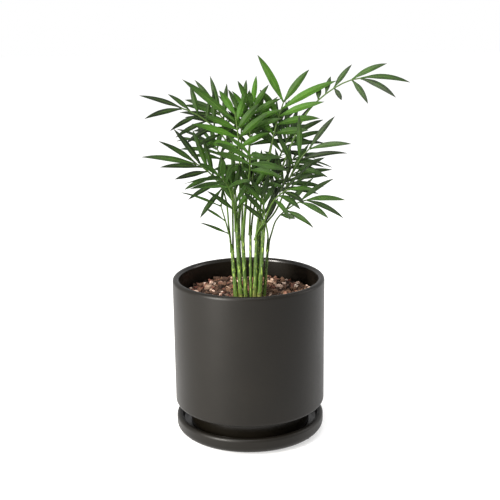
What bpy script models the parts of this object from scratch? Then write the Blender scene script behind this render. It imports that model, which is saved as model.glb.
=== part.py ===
"""A potted parlour palm: several seedlings in a matt black ceramic pot that stands on its saucer.

The origin is the centre of the saucer's flat underside, on the pot's axis.  +Z is up and -Y is the
front.  Sizes are in metres, and the plant's own points are in millimetres from the pot's axis and up
from the soil's edge.
"""
import itertools
import math
import random
from dataclasses import dataclass

import bmesh
import bpy
from mathutils import Matrix, Vector
from mathutils.bvhtree import BVHTree

MM = 0.001
CLEARANCE = 0.0003          # between pieces that rest on or against each other
ROUND_STEPS = 48            # faces around a turned piece
UP = Vector((0, 0, 1))
FRONT = (0, -1, 0.35)       # the way a leaf that is turned to the front faces
SKY = (0, 0, 1)             # the way a leaf that lies flat faces

# Pot
POT_DIAMETER = 0.140
POT_HEIGHT = 0.140
POT_WALL = 0.006
POT_EDGE = 0.003            # radius of the edge where the wall turns in above the foot
POT_FOOT_INSET = 0.014      # how far the foot stands in from the wall
POT_FOOT_HEIGHT = 0.020
DRAIN_HOLE_DIAMETER = 0.012

# Saucer, and the three pads under it
SAUCER_GAP = 0.0075         # between the pot's foot and the saucer's lip
SAUCER_HEIGHT = 0.014
SAUCER_WALL = 0.006
SAUCER_FLOOR = 0.0055
SAUCER_CORNER = 0.006       # radius of its outer lower corner
PAD_COUNT = 3
PAD_DIAMETER = 0.010
PAD_HEIGHT = 0.0030
PAD_INSET = 0.0065          # from the saucer's outer wall to a pad's centre, past the corner

# Soil
SOIL_BELOW_RIM = 0.019
SOIL_CROWN = 0.002          # how much higher the soil is in the middle
ROOT_DEPTH = 0.012          # how deep a stem stands in the soil

# Seedlings
STEM_SIDES = 8
STALK_WIDTH = 0.00125       # a petiole where it leaves its stem
RACHIS_TIP_WIDTH = 0.0008
LEAFLET_BASE = 0.0018       # how much of the rachis a leaflet's foot takes
LEAFLET_THICKNESS = 0.0007
FOOT_ROOT = 0.15            # share of a leaflet's foot that may lie against its own stalk
PETIOLE_STEPS = 7
LEAFLET_STATIONS = ((0.20, 0.62), (0.50, 1.0), (0.80, 0.62))    # share of its length, of its width

FOOT_RADIUS = POT_DIAMETER / 2 - POT_FOOT_INSET
SAUCER_RADIUS = FOOT_RADIUS + SAUCER_GAP + SAUCER_WALL
POT_BASE_Z = SAUCER_FLOOR + CLEARANCE
RIM_Z = POT_BASE_Z + POT_HEIGHT
SOIL_Z = RIM_Z - SOIL_BELOW_RIM
BORE_RADIUS = POT_DIAMETER / 2 - POT_WALL


@dataclass(frozen=True)
class Stem:
    """One seedling's sheathed stem.  Its foot (x, y) and its top (x, y, height) are in millimetres."""
    name: str
    foot: tuple
    top: tuple
    radius: float = 1.8


@dataclass(frozen=True)
class Frond:
    """One leaf.  Its stalk runs from the stem through bend to throat, where its leaflets start.

    Its leaflets stand in pairs.  Where left or right is given, it holds each pair's (length, degrees
    from the rachis) on that side, from the lowest up, and a length of 0 leaves that one out.
    """
    name: str
    stem: str
    bend: tuple
    throat: tuple
    tip: tuple
    face: tuple = FRONT         # the way its upper side looks
    pairs: int = 5
    length: float = 36.0        # of its longest leaflets
    width: float = 4.8
    spread: float = 58.0        # degrees between the rachis and the lowest leaflets
    end_spread: float = 15.0    # and the last pair
    sag: float = 0.20           # how far a leaflet's tip drops, as a share of its length
    droop: float = 0.5          # how much the rachis bends down at its end
    left: tuple = ()
    right: tuple = ()


STEMS = (
    Stem("stem_1", foot=(-11.4, -19.0), top=(-14.6, -5.0, 46)),
    Stem("stem_2", foot=(-7.0, -20.5), top=(-10.2, -7.5, 66)),
    Stem("stem_3", foot=(-2.6, -19.5), top=(-4.8, -8.0, 58)),
    Stem("stem_4", foot=(-7.6, -15.0), top=(-8.8, 1.2, 72)),
    Stem("stem_5", foot=(1.8, -17.5), top=(2.2, -4.0, 62), radius=1.1),
    Stem("stem_6", foot=(5.4, -20.0), top=(7.8, -7.5, 58)),
    Stem("stem_7", foot=(9.6, -20.5), top=(14.2, -6.5, 66)),
    Stem("stem_8", foot=(8.0, -15.6), top=(11.0, 2.5, 74)),
    Stem("stem_9", foot=(14.0, -17.0), top=(18.0, -2.0, 46), radius=1.0),
)

FRONDS = (
    # On the right
    Frond("frond_right_arch", "stem_7", (41, 2, 143), (63, 4, 178), (100, -8, 198), pairs=6, sag=0.24,
          droop=0.9, left=((14, 45), (16, 38), (26, 25), (0, 0), (33, 18), (42, 8)),
          right=((0, 0), (0, 0), (12, 75), (0, 0), (25, 58), (36, 16))),
    Frond("frond_right_low", "stem_9", (21, -2, 58), (29, -2, 76), (54, -8, 91), droop=0.9, sag=0.24,
          left=((0, 0), (41, 18), (0, 0), (38, 20), (34, 4)),
          right=((14, 40), (28, 55), (0, 0), (30, 34), (35, 18))),
    Frond("frond_right_middle", "stem_6", (26, -12, 84), (41, -14, 120), (55, -18, 139), pairs=4,
          left=((36, 50), (42, 32), (0, 0), (38, 14)), right=((30, 62), (42, 32), (0, 0), (38, 22))),
    Frond("frond_right_back", "stem_8", (22, 12, 86), (32, 22, 114), (48, 32, 124),
          face=(0, -0.3, 1), pairs=4, sag=0.34),
    Frond("frond_right_inner", "stem_7", (21, 2, 82), (30, 6, 99), (44, 10, 113)),
    Frond("frond_right_upper", "stem_7", (17, 9, 98), (31, 16, 130), (40, 22, 146)),
    Frond("frond_right_front", "stem_6", (15, -14, 74), (23, -24, 94), (36, -34, 106),
          face=(0.3, -0.8, 1), pairs=4, length=32, sag=0.28),
    # In the middle
    Frond("frond_top", "stem_6", (15, 2, 100), (24, 4, 148), (33, 4, 178), width=6.4, droop=0.1,
          left=((32, 55), (36, 50), (30, 44), (0, 0), (48, 42)),
          right=((30, 60), (38, 54), (42, 44), (54, 34), (36, 14))),
    Frond("frond_top_middle", "stem_3", (1, 0, 110), (3, 0, 152), (5, -4, 176), length=32, droop=0.2),
    Frond("frond_centre_front", "stem_3", (-2, -14, 88), (2, -24, 120), (3, -34, 136),
          face=(0, -1, 1), pairs=4, width=7.6, spread=78, end_spread=32, sag=0.28),
    Frond("frond_centre_low", "stem_5", (5, -5, 80), (9, -10, 98), (15, -15, 113), length=32),
    Frond("frond_centre_back", "stem_4", (-3, 12, 100), (2, 18, 136), (9, 24, 158)),
    Frond("frond_back_low", "stem_8", (8, 12, 86), (10, 26, 104), (14, 42, 114),
          face=(0, 0.4, 1), pairs=4, sag=0.3),
    Frond("frond_back_upper", "stem_8", (14, 16, 98), (22, 28, 136), (30, 38, 152),
          face=(0, -0.2, 1), pairs=4, sag=0.25),
    # On the left
    Frond("frond_left_tall", "stem_2", (-7, -8, 92), (-7, -8, 138), (-10, -8, 169), width=6.4, droop=0.1,
          sag=0.1, left=((36, 72), (43, 60), (32, 52), (60, 40), (25, 24)),
          right=((30, 60), (34, 50), (30, 40), (26, 30), (18, 32))),
    Frond("frond_left_inner", "stem_3", (-4, 2, 104), (-5, 6, 146), (-4, 10, 170), length=30, droop=0.2),
    Frond("frond_left_arch", "stem_1", (-14, -5, 100), (-18, -6, 144), (-57, -10, 174), pairs=7,
          width=4.6, droop=0.9, sag=0.16,
          left=((20, 70), (24, 64), (28, 60), (30, 56), (28, 50), (16, 12), (34, 18)),
          right=((12, 55), (14, 60), (33, 46), (20, 60), (27, 46), (24, 22), (38, 10))),
    Frond("frond_left_middle", "stem_1", (-17, -10, 66), (-22, -12, 102), (-45, -16, 126), pairs=6,
          droop=0.9, sag=0.14,
          left=((32, 110), (30, 76), (28, 60), (30, 46), (38, 24), (48, 6)),
          right=((26, 46), (30, 40), (38, 26), (40, 30), (43, 22), (40, 14))),
    Frond("frond_left_high", "stem_4", (-12, 4, 110), (-15, 8, 150), (-28, 12, 170)),
    Frond("frond_left_back", "stem_4", (-13, 14, 88), (-22, 26, 122), (-34, 38, 138),
          face=(0, -0.2, 1), sag=0.25),
    Frond("frond_left_front", "stem_2", (-12, -16, 84), (-16, -26, 106), (-25, -36, 118),
          face=(-0.3, -1, 0.2), pairs=4, length=34, sag=0.28),
    Frond("frond_left_low", "stem_1", (-16, -9, 53), (-17, -11, 61), (-24, -13, 88), pairs=3,
          width=2.6, droop=0.2, sag=0.1, left=((28, 48), (24, 34), (42, 42)),
          right=((0, 0), (0, 0), (18, 20))),
    # The youngest, upright between the others
    Frond("frond_inner_left", "stem_2", (-10, -9, 74), (-11, -12, 82), (-13, -19, 106), pairs=4,
          spread=34, end_spread=14, length=34, width=4.6, sag=0.08),
    Frond("frond_inner_middle", "stem_5", (2, -8, 76), (3, -12, 92), (5, -17, 116), pairs=4,
          spread=34, end_spread=14, length=32, width=4.6, sag=0.08),
    Frond("frond_inner_right", "stem_9", (18, -7, 58), (16, -11.5, 72), (13, -19, 97), pairs=4,
          spread=34, end_spread=14, length=32, width=4.6, sag=0.08),
)

# The larger loose chunks: place on the soil in shares of the bore's radius, size and height in
# millimetres, and turn in degrees
STONES = (
    (-0.59, 0.27, 9, 5, 20), (-0.36, 0.39, 7, 5, 75), (-0.77, 0.06, 7, 4, 130), (-0.47, -0.06, 8, 4, 50),
    (0.45, 0.23, 9, 5, 110), (0.66, 0.34, 7, 4, 15), (0.33, 0.53, 8, 4, 160), (0.75, -0.03, 8, 5, 85),
    (-0.13, 0.59, 7, 4, 40), (0.52, -0.22, 7, 4, 140), (-0.31, -0.59, 8, 4, 100), (0.22, -0.69, 9, 5, 60),
)


# Materials

def material(name, colour, roughness, metallic=0.0):
    """One Principled material."""
    made = bpy.data.materials.new(name)
    made.use_nodes = True
    shader = made.node_tree.nodes["Principled BSDF"]
    shader.inputs["Base Color"].default_value = (*colour, 1.0)
    shader.inputs["Roughness"].default_value = roughness
    shader.inputs["Metallic"].default_value = metallic
    return made


# Making objects

def add_object(name, mesh, finish):
    """Put a mesh in the scene under a node's name."""
    mesh.materials.append(finish)
    made = bpy.data.objects.new(name, mesh)
    bpy.context.collection.objects.link(made)
    return made


def mesh_of(name, points, faces):
    """A closed mesh from its points and faces, with its faces turned outwards."""
    work = bmesh.new()
    corners = [work.verts.new(point) for point in points]
    for face in faces:
        work.faces.new([corners[index] for index in face])
    bmesh.ops.recalc_face_normals(work, faces=work.faces)
    mesh = bpy.data.meshes.new(name)
    work.to_mesh(mesh)
    work.free()
    mesh.shade_smooth()
    mesh.set_sharp_from_angle(angle=math.radians(35))
    return mesh


def arc(centre_r, centre_z, radius, start, end, steps):
    """Points (radius, height) of a round stretch of a turned outline, angles in degrees."""
    angles = [math.radians(start + (end - start) * step / steps) for step in range(steps + 1)]
    return [(centre_r + radius * math.cos(a), centre_z + radius * math.sin(a)) for a in angles]


def turned(name, outline, steps=ROUND_STEPS):
    """A turned solid from its closed outline of (radius, height) points; radius 0 is a pole."""
    points, rows = [], []
    for radius, height in outline:
        count = 1 if radius == 0 else steps
        rows.append(list(range(len(points), len(points) + count)))
        for step in range(count):
            angle = math.tau * step / steps
            points.append((radius * math.cos(angle), radius * math.sin(angle), height))
    faces = []
    for lower, upper in zip(rows, rows[1:] + rows[:1]):
        if len(lower) == len(upper) == 1:
            continue
        for step in range(steps):
            ring = [lower[step % len(lower)], lower[(step + 1) % len(lower)],
                    upper[(step + 1) % len(upper)], upper[step % len(upper)]]
            faces.append(list(dict.fromkeys(ring)))
    return mesh_of(name, points, faces)


# The holder

def saucer_outline():
    """The saucer's section, from the middle of its underside round to the middle of its floor."""
    lip = SAUCER_WALL / 2
    inner = SAUCER_RADIUS - SAUCER_WALL
    cove = 0.003
    return [(0, 0)] + arc(SAUCER_RADIUS - SAUCER_CORNER, SAUCER_CORNER, SAUCER_CORNER, -90, 0, 3) \
        + arc(SAUCER_RADIUS - lip, SAUCER_HEIGHT - lip, lip, 0, 180, 6) \
        + arc(inner - cove, SAUCER_FLOOR + cove, cove, 0, -90, 2) + [(0, SAUCER_FLOOR)]


def pot_outline():
    """The pot's section: foot, underside, wall, lip, bore, hollow foot, floor and drain hole."""
    outer = POT_DIAMETER / 2
    lip = POT_WALL / 2
    shoulder = POT_BASE_Z + POT_FOOT_HEIGHT
    foot_edge = 0.0015
    return arc(FOOT_RADIUS - foot_edge, POT_BASE_Z + foot_edge, foot_edge, -90, 0, 2) \
        + [(FOOT_RADIUS, shoulder)] \
        + arc(outer - POT_EDGE, shoulder + POT_EDGE, POT_EDGE, -90, 0, 3) \
        + arc(outer - lip, RIM_Z - lip, lip, 0, 180, 6) \
        + [(BORE_RADIUS, shoulder + POT_WALL), (FOOT_RADIUS - POT_WALL, shoulder + POT_WALL),
           (FOOT_RADIUS - POT_WALL, POT_BASE_Z + POT_WALL),
           (DRAIN_HOLE_DIAMETER / 2, POT_BASE_Z + POT_WALL), (DRAIN_HOLE_DIAMETER / 2, POT_BASE_Z)]


def soil_height(x, y):
    """Height of the soil's surface at a place."""
    share = min(math.hypot(x, y) / BORE_RADIUS, 1.0)
    return SOIL_Z + SOIL_CROWN * (1 - share ** 2)


def soil_outline():
    """The soil's section: it fills the pot's bore and its hollow foot."""
    bore = BORE_RADIUS - CLEARANCE
    foot = FOOT_RADIUS - POT_WALL - CLEARANCE
    ledge = POT_BASE_Z + POT_FOOT_HEIGHT + POT_WALL + CLEARANCE
    floor = POT_BASE_Z + POT_WALL + CLEARANCE
    surface = [(radius, soil_height(radius, 0)) for radius in (bore, bore * 0.7, bore * 0.4, 0)]
    return [(0, floor), (foot, floor), (foot, ledge), (bore, ledge)] + surface


def build_holder(ceramic, rubber):
    """The saucer, the pads that it stands on, and the pot."""
    add_object("saucer", turned("saucer", saucer_outline()), ceramic)
    add_object("pot", turned("pot", pot_outline()), ceramic)
    reach = SAUCER_RADIUS - PAD_INSET - PAD_DIAMETER / 2
    outline = [(0, -CLEARANCE - PAD_HEIGHT), (PAD_DIAMETER / 2, -CLEARANCE - PAD_HEIGHT),
               (PAD_DIAMETER / 2, -CLEARANCE), (0, -CLEARANCE)]
    mesh = turned("saucer_pad", outline, 16)
    mesh.materials.append(rubber)
    for number in range(PAD_COUNT):
        angle = math.radians(90 + 360 * number / PAD_COUNT)
        pad = bpy.data.objects.new(f"saucer_pad_{number + 1}", mesh)
        pad.location = (reach * math.cos(angle), reach * math.sin(angle), 0)
        bpy.context.collection.objects.link(pad)


# The seedlings

def plant_point(point):
    """A point of the plant, in millimetres from the pot's axis and the soil's edge, in metres."""
    return Vector((point[0] * MM, point[1] * MM, point[2] * MM + SOIL_Z))


def curve_point(points, share):
    """The point and direction at a share of a smooth curve, whose first and last points only steer it."""
    spans = len(points) - 3
    at = min(share * spans, spans - 1e-6)
    span = int(at)
    t = at - span
    a, b, c, d = points[span:span + 4]
    place = 0.5 * (2 * b + (c - a) * t + (2 * a - 5 * b + 4 * c - d) * t ** 2
                   + (3 * b - a - 3 * c + d) * t ** 3)
    slope = 0.5 * ((c - a) + (2 * a - 5 * b + 4 * c - d) * 2 * t + (3 * b - a - 3 * c + d) * 3 * t ** 2)
    return place, slope.normalized()


def stem_line(stem):
    """The foot, the soil's surface and the top of a stem, as points."""
    foot = Vector((stem.foot[0] * MM, stem.foot[1] * MM, 0))
    foot.z = soil_height(foot.x, foot.y) - ROOT_DEPTH
    top = plant_point(stem.top)
    return foot, foot + Vector((0, 0, ROOT_DEPTH)), top


def stem_mesh(name, stem, grow=0.0, lower=0.0, raise_top=0.0):
    """A stem's tube, or with grow and the ends moved out, the tool that cuts its hole in the soil."""
    foot, collar, top = stem_line(stem)
    radius = stem.radius * MM
    rows = [(foot - UP * lower, radius * 0.8), (collar, radius), (collar.lerp(top, 0.5), radius * 0.88),
            (top + UP * raise_top, radius)]
    points, faces = [], []
    for place, size in rows:
        for side in range(STEM_SIDES):
            angle = math.tau * side / STEM_SIDES
            points.append(place + (size + grow) * Vector((math.cos(angle), math.sin(angle), 0)))
    for row in range(len(rows) - 1):
        for side in range(STEM_SIDES):
            a = row * STEM_SIDES + side
            b = row * STEM_SIDES + (side + 1) % STEM_SIDES
            faces.append((a, b, b + STEM_SIDES, a + STEM_SIDES))
    faces.append(tuple(range(STEM_SIDES)))
    faces.append(tuple(range(len(points) - STEM_SIDES, len(points))))
    return points, faces


def build_soil(finish):
    """The soil, with a hole for each stem."""
    soil = add_object("soil", turned("soil", soil_outline()), finish)
    for stem in STEMS:
        points, faces = stem_mesh(stem.name, stem, grow=CLEARANCE, lower=CLEARANCE)
        cutter = add_object("cutter_" + stem.name, mesh_of("cutter", points, faces), finish)
        cutter.hide_render = True
        cutter.display_type = "WIRE"
        hole = soil.modifiers.new(stem.name, "BOOLEAN")
        hole.operation = "DIFFERENCE"
        hole.object = cutter


class Room:
    """What has grown so far, so that the next piece can be kept clear of it."""

    def __init__(self):
        self.taken = []

    def add(self, points, faces, name=""):
        """Take a piece's space, under a name if it has to be told from the rest."""
        self.taken.append((*box_of(points), BVHTree.FromPolygons(points, faces), name))

    def is_free(self, points, faces, but=None):
        """Whether a piece touches nothing that is in place, but for what was taken under one name."""
        low, high = box_of(points)
        near = [tree for a, b, tree, name in self.taken
                if name != but and all(a[i] <= high[i] and low[i] <= b[i] for i in range(3))]
        piece = BVHTree.FromPolygons(points, faces)
        return not any(piece.overlap(tree) for tree in near)


def box_of(points):
    """The lowest and highest corners of some points."""
    return (Vector(min(p[axis] for p in points) for axis in range(3)),
            Vector(max(p[axis] for p in points) for axis in range(3)))


@dataclass
class Ring:
    """A place on a stalk: its centre, its direction, its sideways and upward directions, its half width."""
    centre: Vector
    along: Vector
    side: Vector
    face: Vector
    half: float

    def corners(self, grow=0.0):
        """Its four corners, from right top round to right bottom."""
        size = self.half + grow
        return [self.centre + size * (a * self.side + b * self.face)
                for a, b in ((1, 1), (-1, 1), (-1, -1), (1, -1))]


def stalk_rings(frond, start):
    """The rings of a frond's stalk: its petiole, then two rings for each pair of leaflets."""
    bend, throat, tip = (plant_point(p) for p in (frond.bend, frond.throat, frond.tip))
    length = (tip - throat).length
    rise = (bend - start).length
    points = [start - UP * rise, start, bend, throat, tip, 2 * tip - throat - UP * frond.droop * length]
    shares = [step / PETIOLE_STEPS * 2 / 3 for step in range(PETIOLE_STEPS)]
    foot = LEAFLET_BASE / length / 3
    for pair in range(frond.pairs):
        share = 2 / 3 + pair / (frond.pairs - 1) * (1 / 3 - foot)
        shares += [share, share + foot]
    rings = []
    for share in shares:
        centre, along = curve_point(points, share)
        side = along.cross(Vector(frond.face)).normalized()
        half = (STALK_WIDTH + (RACHIS_TIP_WIDTH - STALK_WIDTH) * share) / 2
        rings.append(Ring(centre, along, side, side.cross(along), half))
    return rings


def tube(rings, grow=0.0):
    """A stalk's own mesh, with its two ends closed."""
    points = [corner for ring in rings for corner in ring.corners(grow)]
    faces = [(0, 1, 2, 3), tuple(range(len(points) - 4, len(points)))]
    for row in range(len(rings) - 1):
        for side in range(4):
            a, b = row * 4 + side, row * 4 + (side + 1) % 4
            faces.append((a, b, b + 4, a + 4))
    return points, faces


@dataclass
class Leaflet:
    """One leaflet: the stalk ring it grows from, its hand (1 right, -1 left) and its shape."""
    ring: int
    hand: int
    length: float
    width: float
    spread: float
    lift: float
    sag: float

    def sections(self, rings, grow=0.0):
        """Its sections of four points, then its tip.  The foot itself belongs to the stalk."""
        near, far = rings[self.ring], rings[self.ring + 1]
        side = near.side * self.hand
        foot = (near.centre + far.centre) / 2 + side * near.half
        spread, lift = math.radians(self.spread), math.radians(self.lift)
        flat = near.along * math.cos(spread) + side * math.sin(spread)
        ahead = flat * math.cos(lift) + near.face * math.sin(lift)
        across = near.along * math.sin(spread) - side * math.cos(spread)
        drop = (ahead * ahead.z - UP) * self.sag
        rows = []
        for share, size in LEAFLET_STATIONS:
            place = foot + self.length * (ahead * share + drop * share ** 2)
            run = (ahead + drop * 2 * share).normalized()
            normal = run.cross(across).normalized() * self.hand
            wide = across * (self.width * size / 2 + grow)
            thick = normal * (LEAFLET_THICKNESS / 2 + grow)
            rows.append([place - wide - thick, place - wide + thick, place + wide + thick,
                         place + wide - thick])
        return rows, foot + self.length * (ahead + drop)

    def solid(self, rings, grow):
        """A closed body that stands for the leaflet, but for the root of its foot, to test for room."""
        rows, tip = self.sections(rings, grow)
        near, far = rings[self.ring].corners(grow), rings[self.ring + 1].corners(grow)
        top, bottom = (0, 3) if self.hand > 0 else (1, 2)
        root = [near[bottom], near[top], far[top], far[bottom]]
        rows.insert(0, [a.lerp(b, FOOT_ROOT) for a, b in zip(root, rows[0])])
        points = [point for row in rows for point in row] + [tip]
        last = len(points) - 1
        faces = [(0, 1, 2, 3)]
        for row in range(len(rows) - 1):
            for side in range(4):
                a, b = row * 4 + side, row * 4 + (side + 1) % 4
                faces.append((a, b, b + 4, a + 4))
        faces += [(last - 4 + side, last - 4 + (side + 1) % 4, last) for side in range(4)]
        return points, faces


# How a leaflet may turn from its own place to stay clear: spread and lift in degrees, smallest first
TURNS = sorted(itertools.product((0, 7, -7, 14, -14), (0, 8, -8, 16, -16, 26, -26)),
               key=lambda turn: abs(turn[0]) * 1.3 + abs(turn[1]))


def leaflets_of(frond):
    """The leaflets that a frond would grow with nothing in its way, from the lowest pair up."""
    vary = random.Random(frond.name)
    wanted = []
    for pair in range(frond.pairs):
        share = pair / (frond.pairs - 1)
        for hand, given in ((1, frond.right), (-1, frond.left)):
            if given:
                length, spread = given[pair]
            else:
                length = frond.length * (0.80 + 0.20 * math.sin(math.pi * (0.2 + 0.6 * share)))
                length *= vary.uniform(0.88, 1.08)
                spread = frond.spread + (frond.end_spread - frond.spread) * share + vary.uniform(-6, 6)
            lift = 5.0 + vary.uniform(-6, 6)
            if length:
                wanted.append(Leaflet(PETIOLE_STEPS + 2 * pair, hand, length * MM, frond.width * MM,
                                      spread, lift, frond.sag))
    return wanted


def place_leaflet(leaflet, rings, room, stalk, name):
    """The leaflet turned, or if need be shortened, until it stands free; None where it has no room."""
    for share in (1.0, 0.8, 0.6):
        for turn, lift in TURNS:
            tried = Leaflet(leaflet.ring, leaflet.hand, leaflet.length * share, leaflet.width,
                            leaflet.spread + turn, leaflet.lift + lift, leaflet.sag)
            on_stalk = BVHTree.FromPolygons(*tried.solid(rings, 0.0)).overlap(stalk)
            if not on_stalk and room.is_free(*tried.solid(rings, CLEARANCE), but=name):
                return tried
    return None


def frond_mesh(name, rings, leaflets):
    """A frond's one closed mesh: the stalk's tube with the leaflets drawn out of its side faces."""
    points = [corner for ring in rings for corner in ring.corners()]
    grown = {(leaflet.ring, leaflet.hand): leaflet for leaflet in leaflets}
    faces = [(0, 1, 2, 3), tuple(range(len(points) - 4, len(points)))]
    for row in range(len(rings) - 1):
        a, b = row * 4, row * 4 + 4
        faces += [(a, a + 1, b + 1, b), (a + 2, a + 3, b + 3, b + 2)]
        for hand, top, bottom in ((1, 0, 3), (-1, 1, 2)):
            foot = [a + bottom, a + top, b + top, b + bottom]
            leaflet = grown.get((row, hand))
            if leaflet is None:
                faces.append(tuple(foot))
                continue
            rows, tip = leaflet.sections(rings)
            for section in rows:
                ring = list(range(len(points), len(points) + 4))
                points += section
                faces += [(foot[i], foot[(i + 1) % 4], ring[(i + 1) % 4], ring[i]) for i in range(4)]
                foot = ring
            points.append(tip)
            faces += [(foot[i], foot[(i + 1) % 4], len(points) - 1) for i in range(4)]
    return mesh_of(name, points, faces)


def stalk_starts():
    """Where each frond's stalk stands on its stem's top: side by side, each on the side it leans to."""
    starts = {}
    for stem in STEMS:
        top = plant_point(stem.top) + UP * CLEARANCE
        own = [frond for frond in FRONDS if frond.stem == stem.name]
        own.sort(key=lambda frond: heading(frond, stem))
        offset = {1: 0.0, 2: 0.8, 3: 0.92}[len(own)] * STALK_WIDTH
        turn = sum(heading(frond, stem) - math.tau * k / len(own) for k, frond in enumerate(own)) / len(own)
        for k, frond in enumerate(own):
            angle = turn + math.tau * k / len(own)
            starts[frond.name] = top + offset * Vector((math.cos(angle), math.sin(angle), 0))
    return starts


def heading(frond, stem):
    """The way a frond leans from its stem, as an angle round the pot's axis."""
    return math.atan2(frond.bend[1] - stem.top[1], frond.bend[0] - stem.top[0])


def build_seedlings(stem_finish, leaf_finish):
    """The stems, then all the stalks, then the leaflets one after another where there is room."""
    room = Room()
    for stem in STEMS:
        points, faces = stem_mesh(stem.name, stem)
        room.add(points, faces)
        add_object(stem.name, mesh_of(stem.name, points, faces), stem_finish)
    starts = stalk_starts()
    stalks = {frond.name: stalk_rings(frond, starts[frond.name]) for frond in FRONDS}
    for name, rings in stalks.items():
        room.add(*tube(rings), name=name)
    for frond in FRONDS:
        rings = stalks[frond.name]
        stalk = BVHTree.FromPolygons(*tube(rings))
        leaflets = []
        for wanted in leaflets_of(frond):
            leaflet = place_leaflet(wanted, rings, room, stalk, frond.name)
            if leaflet:
                leaflets.append(leaflet)
                room.add(*leaflet.solid(rings, 0.0))
        add_object(frond.name, frond_mesh(frond.name, rings, leaflets), leaf_finish)


# The loose chunks

def build_stones(finish):
    """The larger chunks of pumice and bark that lie on the soil."""
    for number, (x_share, y_share, size, height, turn) in enumerate(STONES, start=1):
        name = f"stone_{number:02d}"
        x, y = x_share * BORE_RADIUS, y_share * BORE_RADIUS
        shape = random.Random(number)
        work = bmesh.new()
        bmesh.ops.create_icosphere(work, subdivisions=2, radius=0.5)
        for corner in work.verts:
            corner.co *= shape.uniform(0.82, 1.12)
            corner.co.z = max(corner.co.z, -0.36)
        stretch = Matrix.Diagonal((size * MM, size * MM * 0.72, height * MM, 1))
        bmesh.ops.transform(work, matrix=Matrix.Rotation(math.radians(turn), 4, "Z") @ stretch,
                            verts=work.verts)
        lift = max(soil_height(x + v.co.x, y + v.co.y) - v.co.z for v in work.verts)
        bmesh.ops.translate(work, vec=(x, y, lift + CLEARANCE), verts=work.verts)
        mesh = bpy.data.meshes.new(name)
        work.to_mesh(mesh)
        work.free()
        add_object(name, mesh, finish)


def main():
    """Build the whole plant in its pot."""
    for old in list(bpy.data.objects):
        bpy.data.objects.remove(old, do_unlink=True)
    ceramic = material("matt_black_ceramic", (0.035, 0.032, 0.028), 0.55)
    rubber = material("pad_rubber", (0.03, 0.03, 0.03), 0.8)
    earth = material("potting_mix", (0.09, 0.055, 0.035), 0.95)
    chunk = material("pumice_and_bark", (0.42, 0.31, 0.25), 0.9)
    stalk = material("young_stem", (0.22, 0.36, 0.08), 0.5)
    leaf = material("palm_leaf", (0.045, 0.16, 0.025), 0.42)
    build_holder(ceramic, rubber)
    build_soil(earth)
    build_seedlings(stalk, leaf)
    build_stones(chunk)


main()
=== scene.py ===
"""The looks of a potted parlour palm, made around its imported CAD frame.

The palm is several seedlings in a matt black ceramic pot that stands in its saucer.  Every size that
the frame holds is read from it: the turned pot and saucer, the line of each stem, and the stalk and
leaflets of each frond.  This file adds what a plant and its pot look like close up: glaze, sheaths,
veined and folded leaf blades, and a bed of bark and pumice.
"""
import logging
import math
import random
from collections.abc import Iterable, Mapping, Sequence
from dataclasses import dataclass, field
from enum import Enum
from typing import Any

import bmesh
import bpy
from mathutils import Euler, Matrix, Vector, noise


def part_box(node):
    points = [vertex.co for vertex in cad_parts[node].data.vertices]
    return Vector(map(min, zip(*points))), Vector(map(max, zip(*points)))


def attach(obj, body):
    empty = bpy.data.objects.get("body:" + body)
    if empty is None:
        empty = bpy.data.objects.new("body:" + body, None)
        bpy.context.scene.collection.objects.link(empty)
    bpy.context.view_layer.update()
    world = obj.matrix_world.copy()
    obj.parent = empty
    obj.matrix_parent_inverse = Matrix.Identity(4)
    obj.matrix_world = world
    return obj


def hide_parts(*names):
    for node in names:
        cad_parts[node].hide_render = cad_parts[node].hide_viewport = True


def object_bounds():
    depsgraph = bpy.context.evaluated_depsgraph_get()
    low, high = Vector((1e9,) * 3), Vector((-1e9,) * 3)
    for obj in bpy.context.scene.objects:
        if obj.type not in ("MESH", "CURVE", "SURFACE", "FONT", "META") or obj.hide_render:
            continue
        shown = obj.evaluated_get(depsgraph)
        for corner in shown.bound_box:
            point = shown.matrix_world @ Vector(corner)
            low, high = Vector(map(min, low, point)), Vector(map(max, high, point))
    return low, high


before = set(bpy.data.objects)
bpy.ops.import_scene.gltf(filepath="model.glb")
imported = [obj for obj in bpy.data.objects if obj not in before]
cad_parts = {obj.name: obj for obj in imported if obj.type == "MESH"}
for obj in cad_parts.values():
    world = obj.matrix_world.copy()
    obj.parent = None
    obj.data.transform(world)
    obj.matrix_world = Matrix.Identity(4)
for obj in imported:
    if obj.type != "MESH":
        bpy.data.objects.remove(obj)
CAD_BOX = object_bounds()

LOG = logging.getLogger("potted_palm")
BODY = "root"
MM = 0.001
UP = Vector((0.0, 0.0, 1.0))
UV_MAP = "UVMap"
Colour = tuple[float, float, float]
WHITE: Colour = (1.0, 1.0, 1.0)


def tone(red: int, green: int, blue: int) -> Colour:
    """A colour given from 0 to 255, in the linear light of a shader."""
    return tuple(share / 12.92 if share <= 0.04045 else ((share + 0.055) / 1.055) ** 2.4
                 for share in (red / 255, green / 255, blue / 255))


def blend(start: float, end: float, value: float) -> float:
    """How far a value is on its way from start to end, from 0 to 1, with a soft start and end."""
    share = min(max((value - start) / (end - start), 0.0), 1.0)
    return share * share * (3.0 - 2.0 * share)


# Node trees


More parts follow.
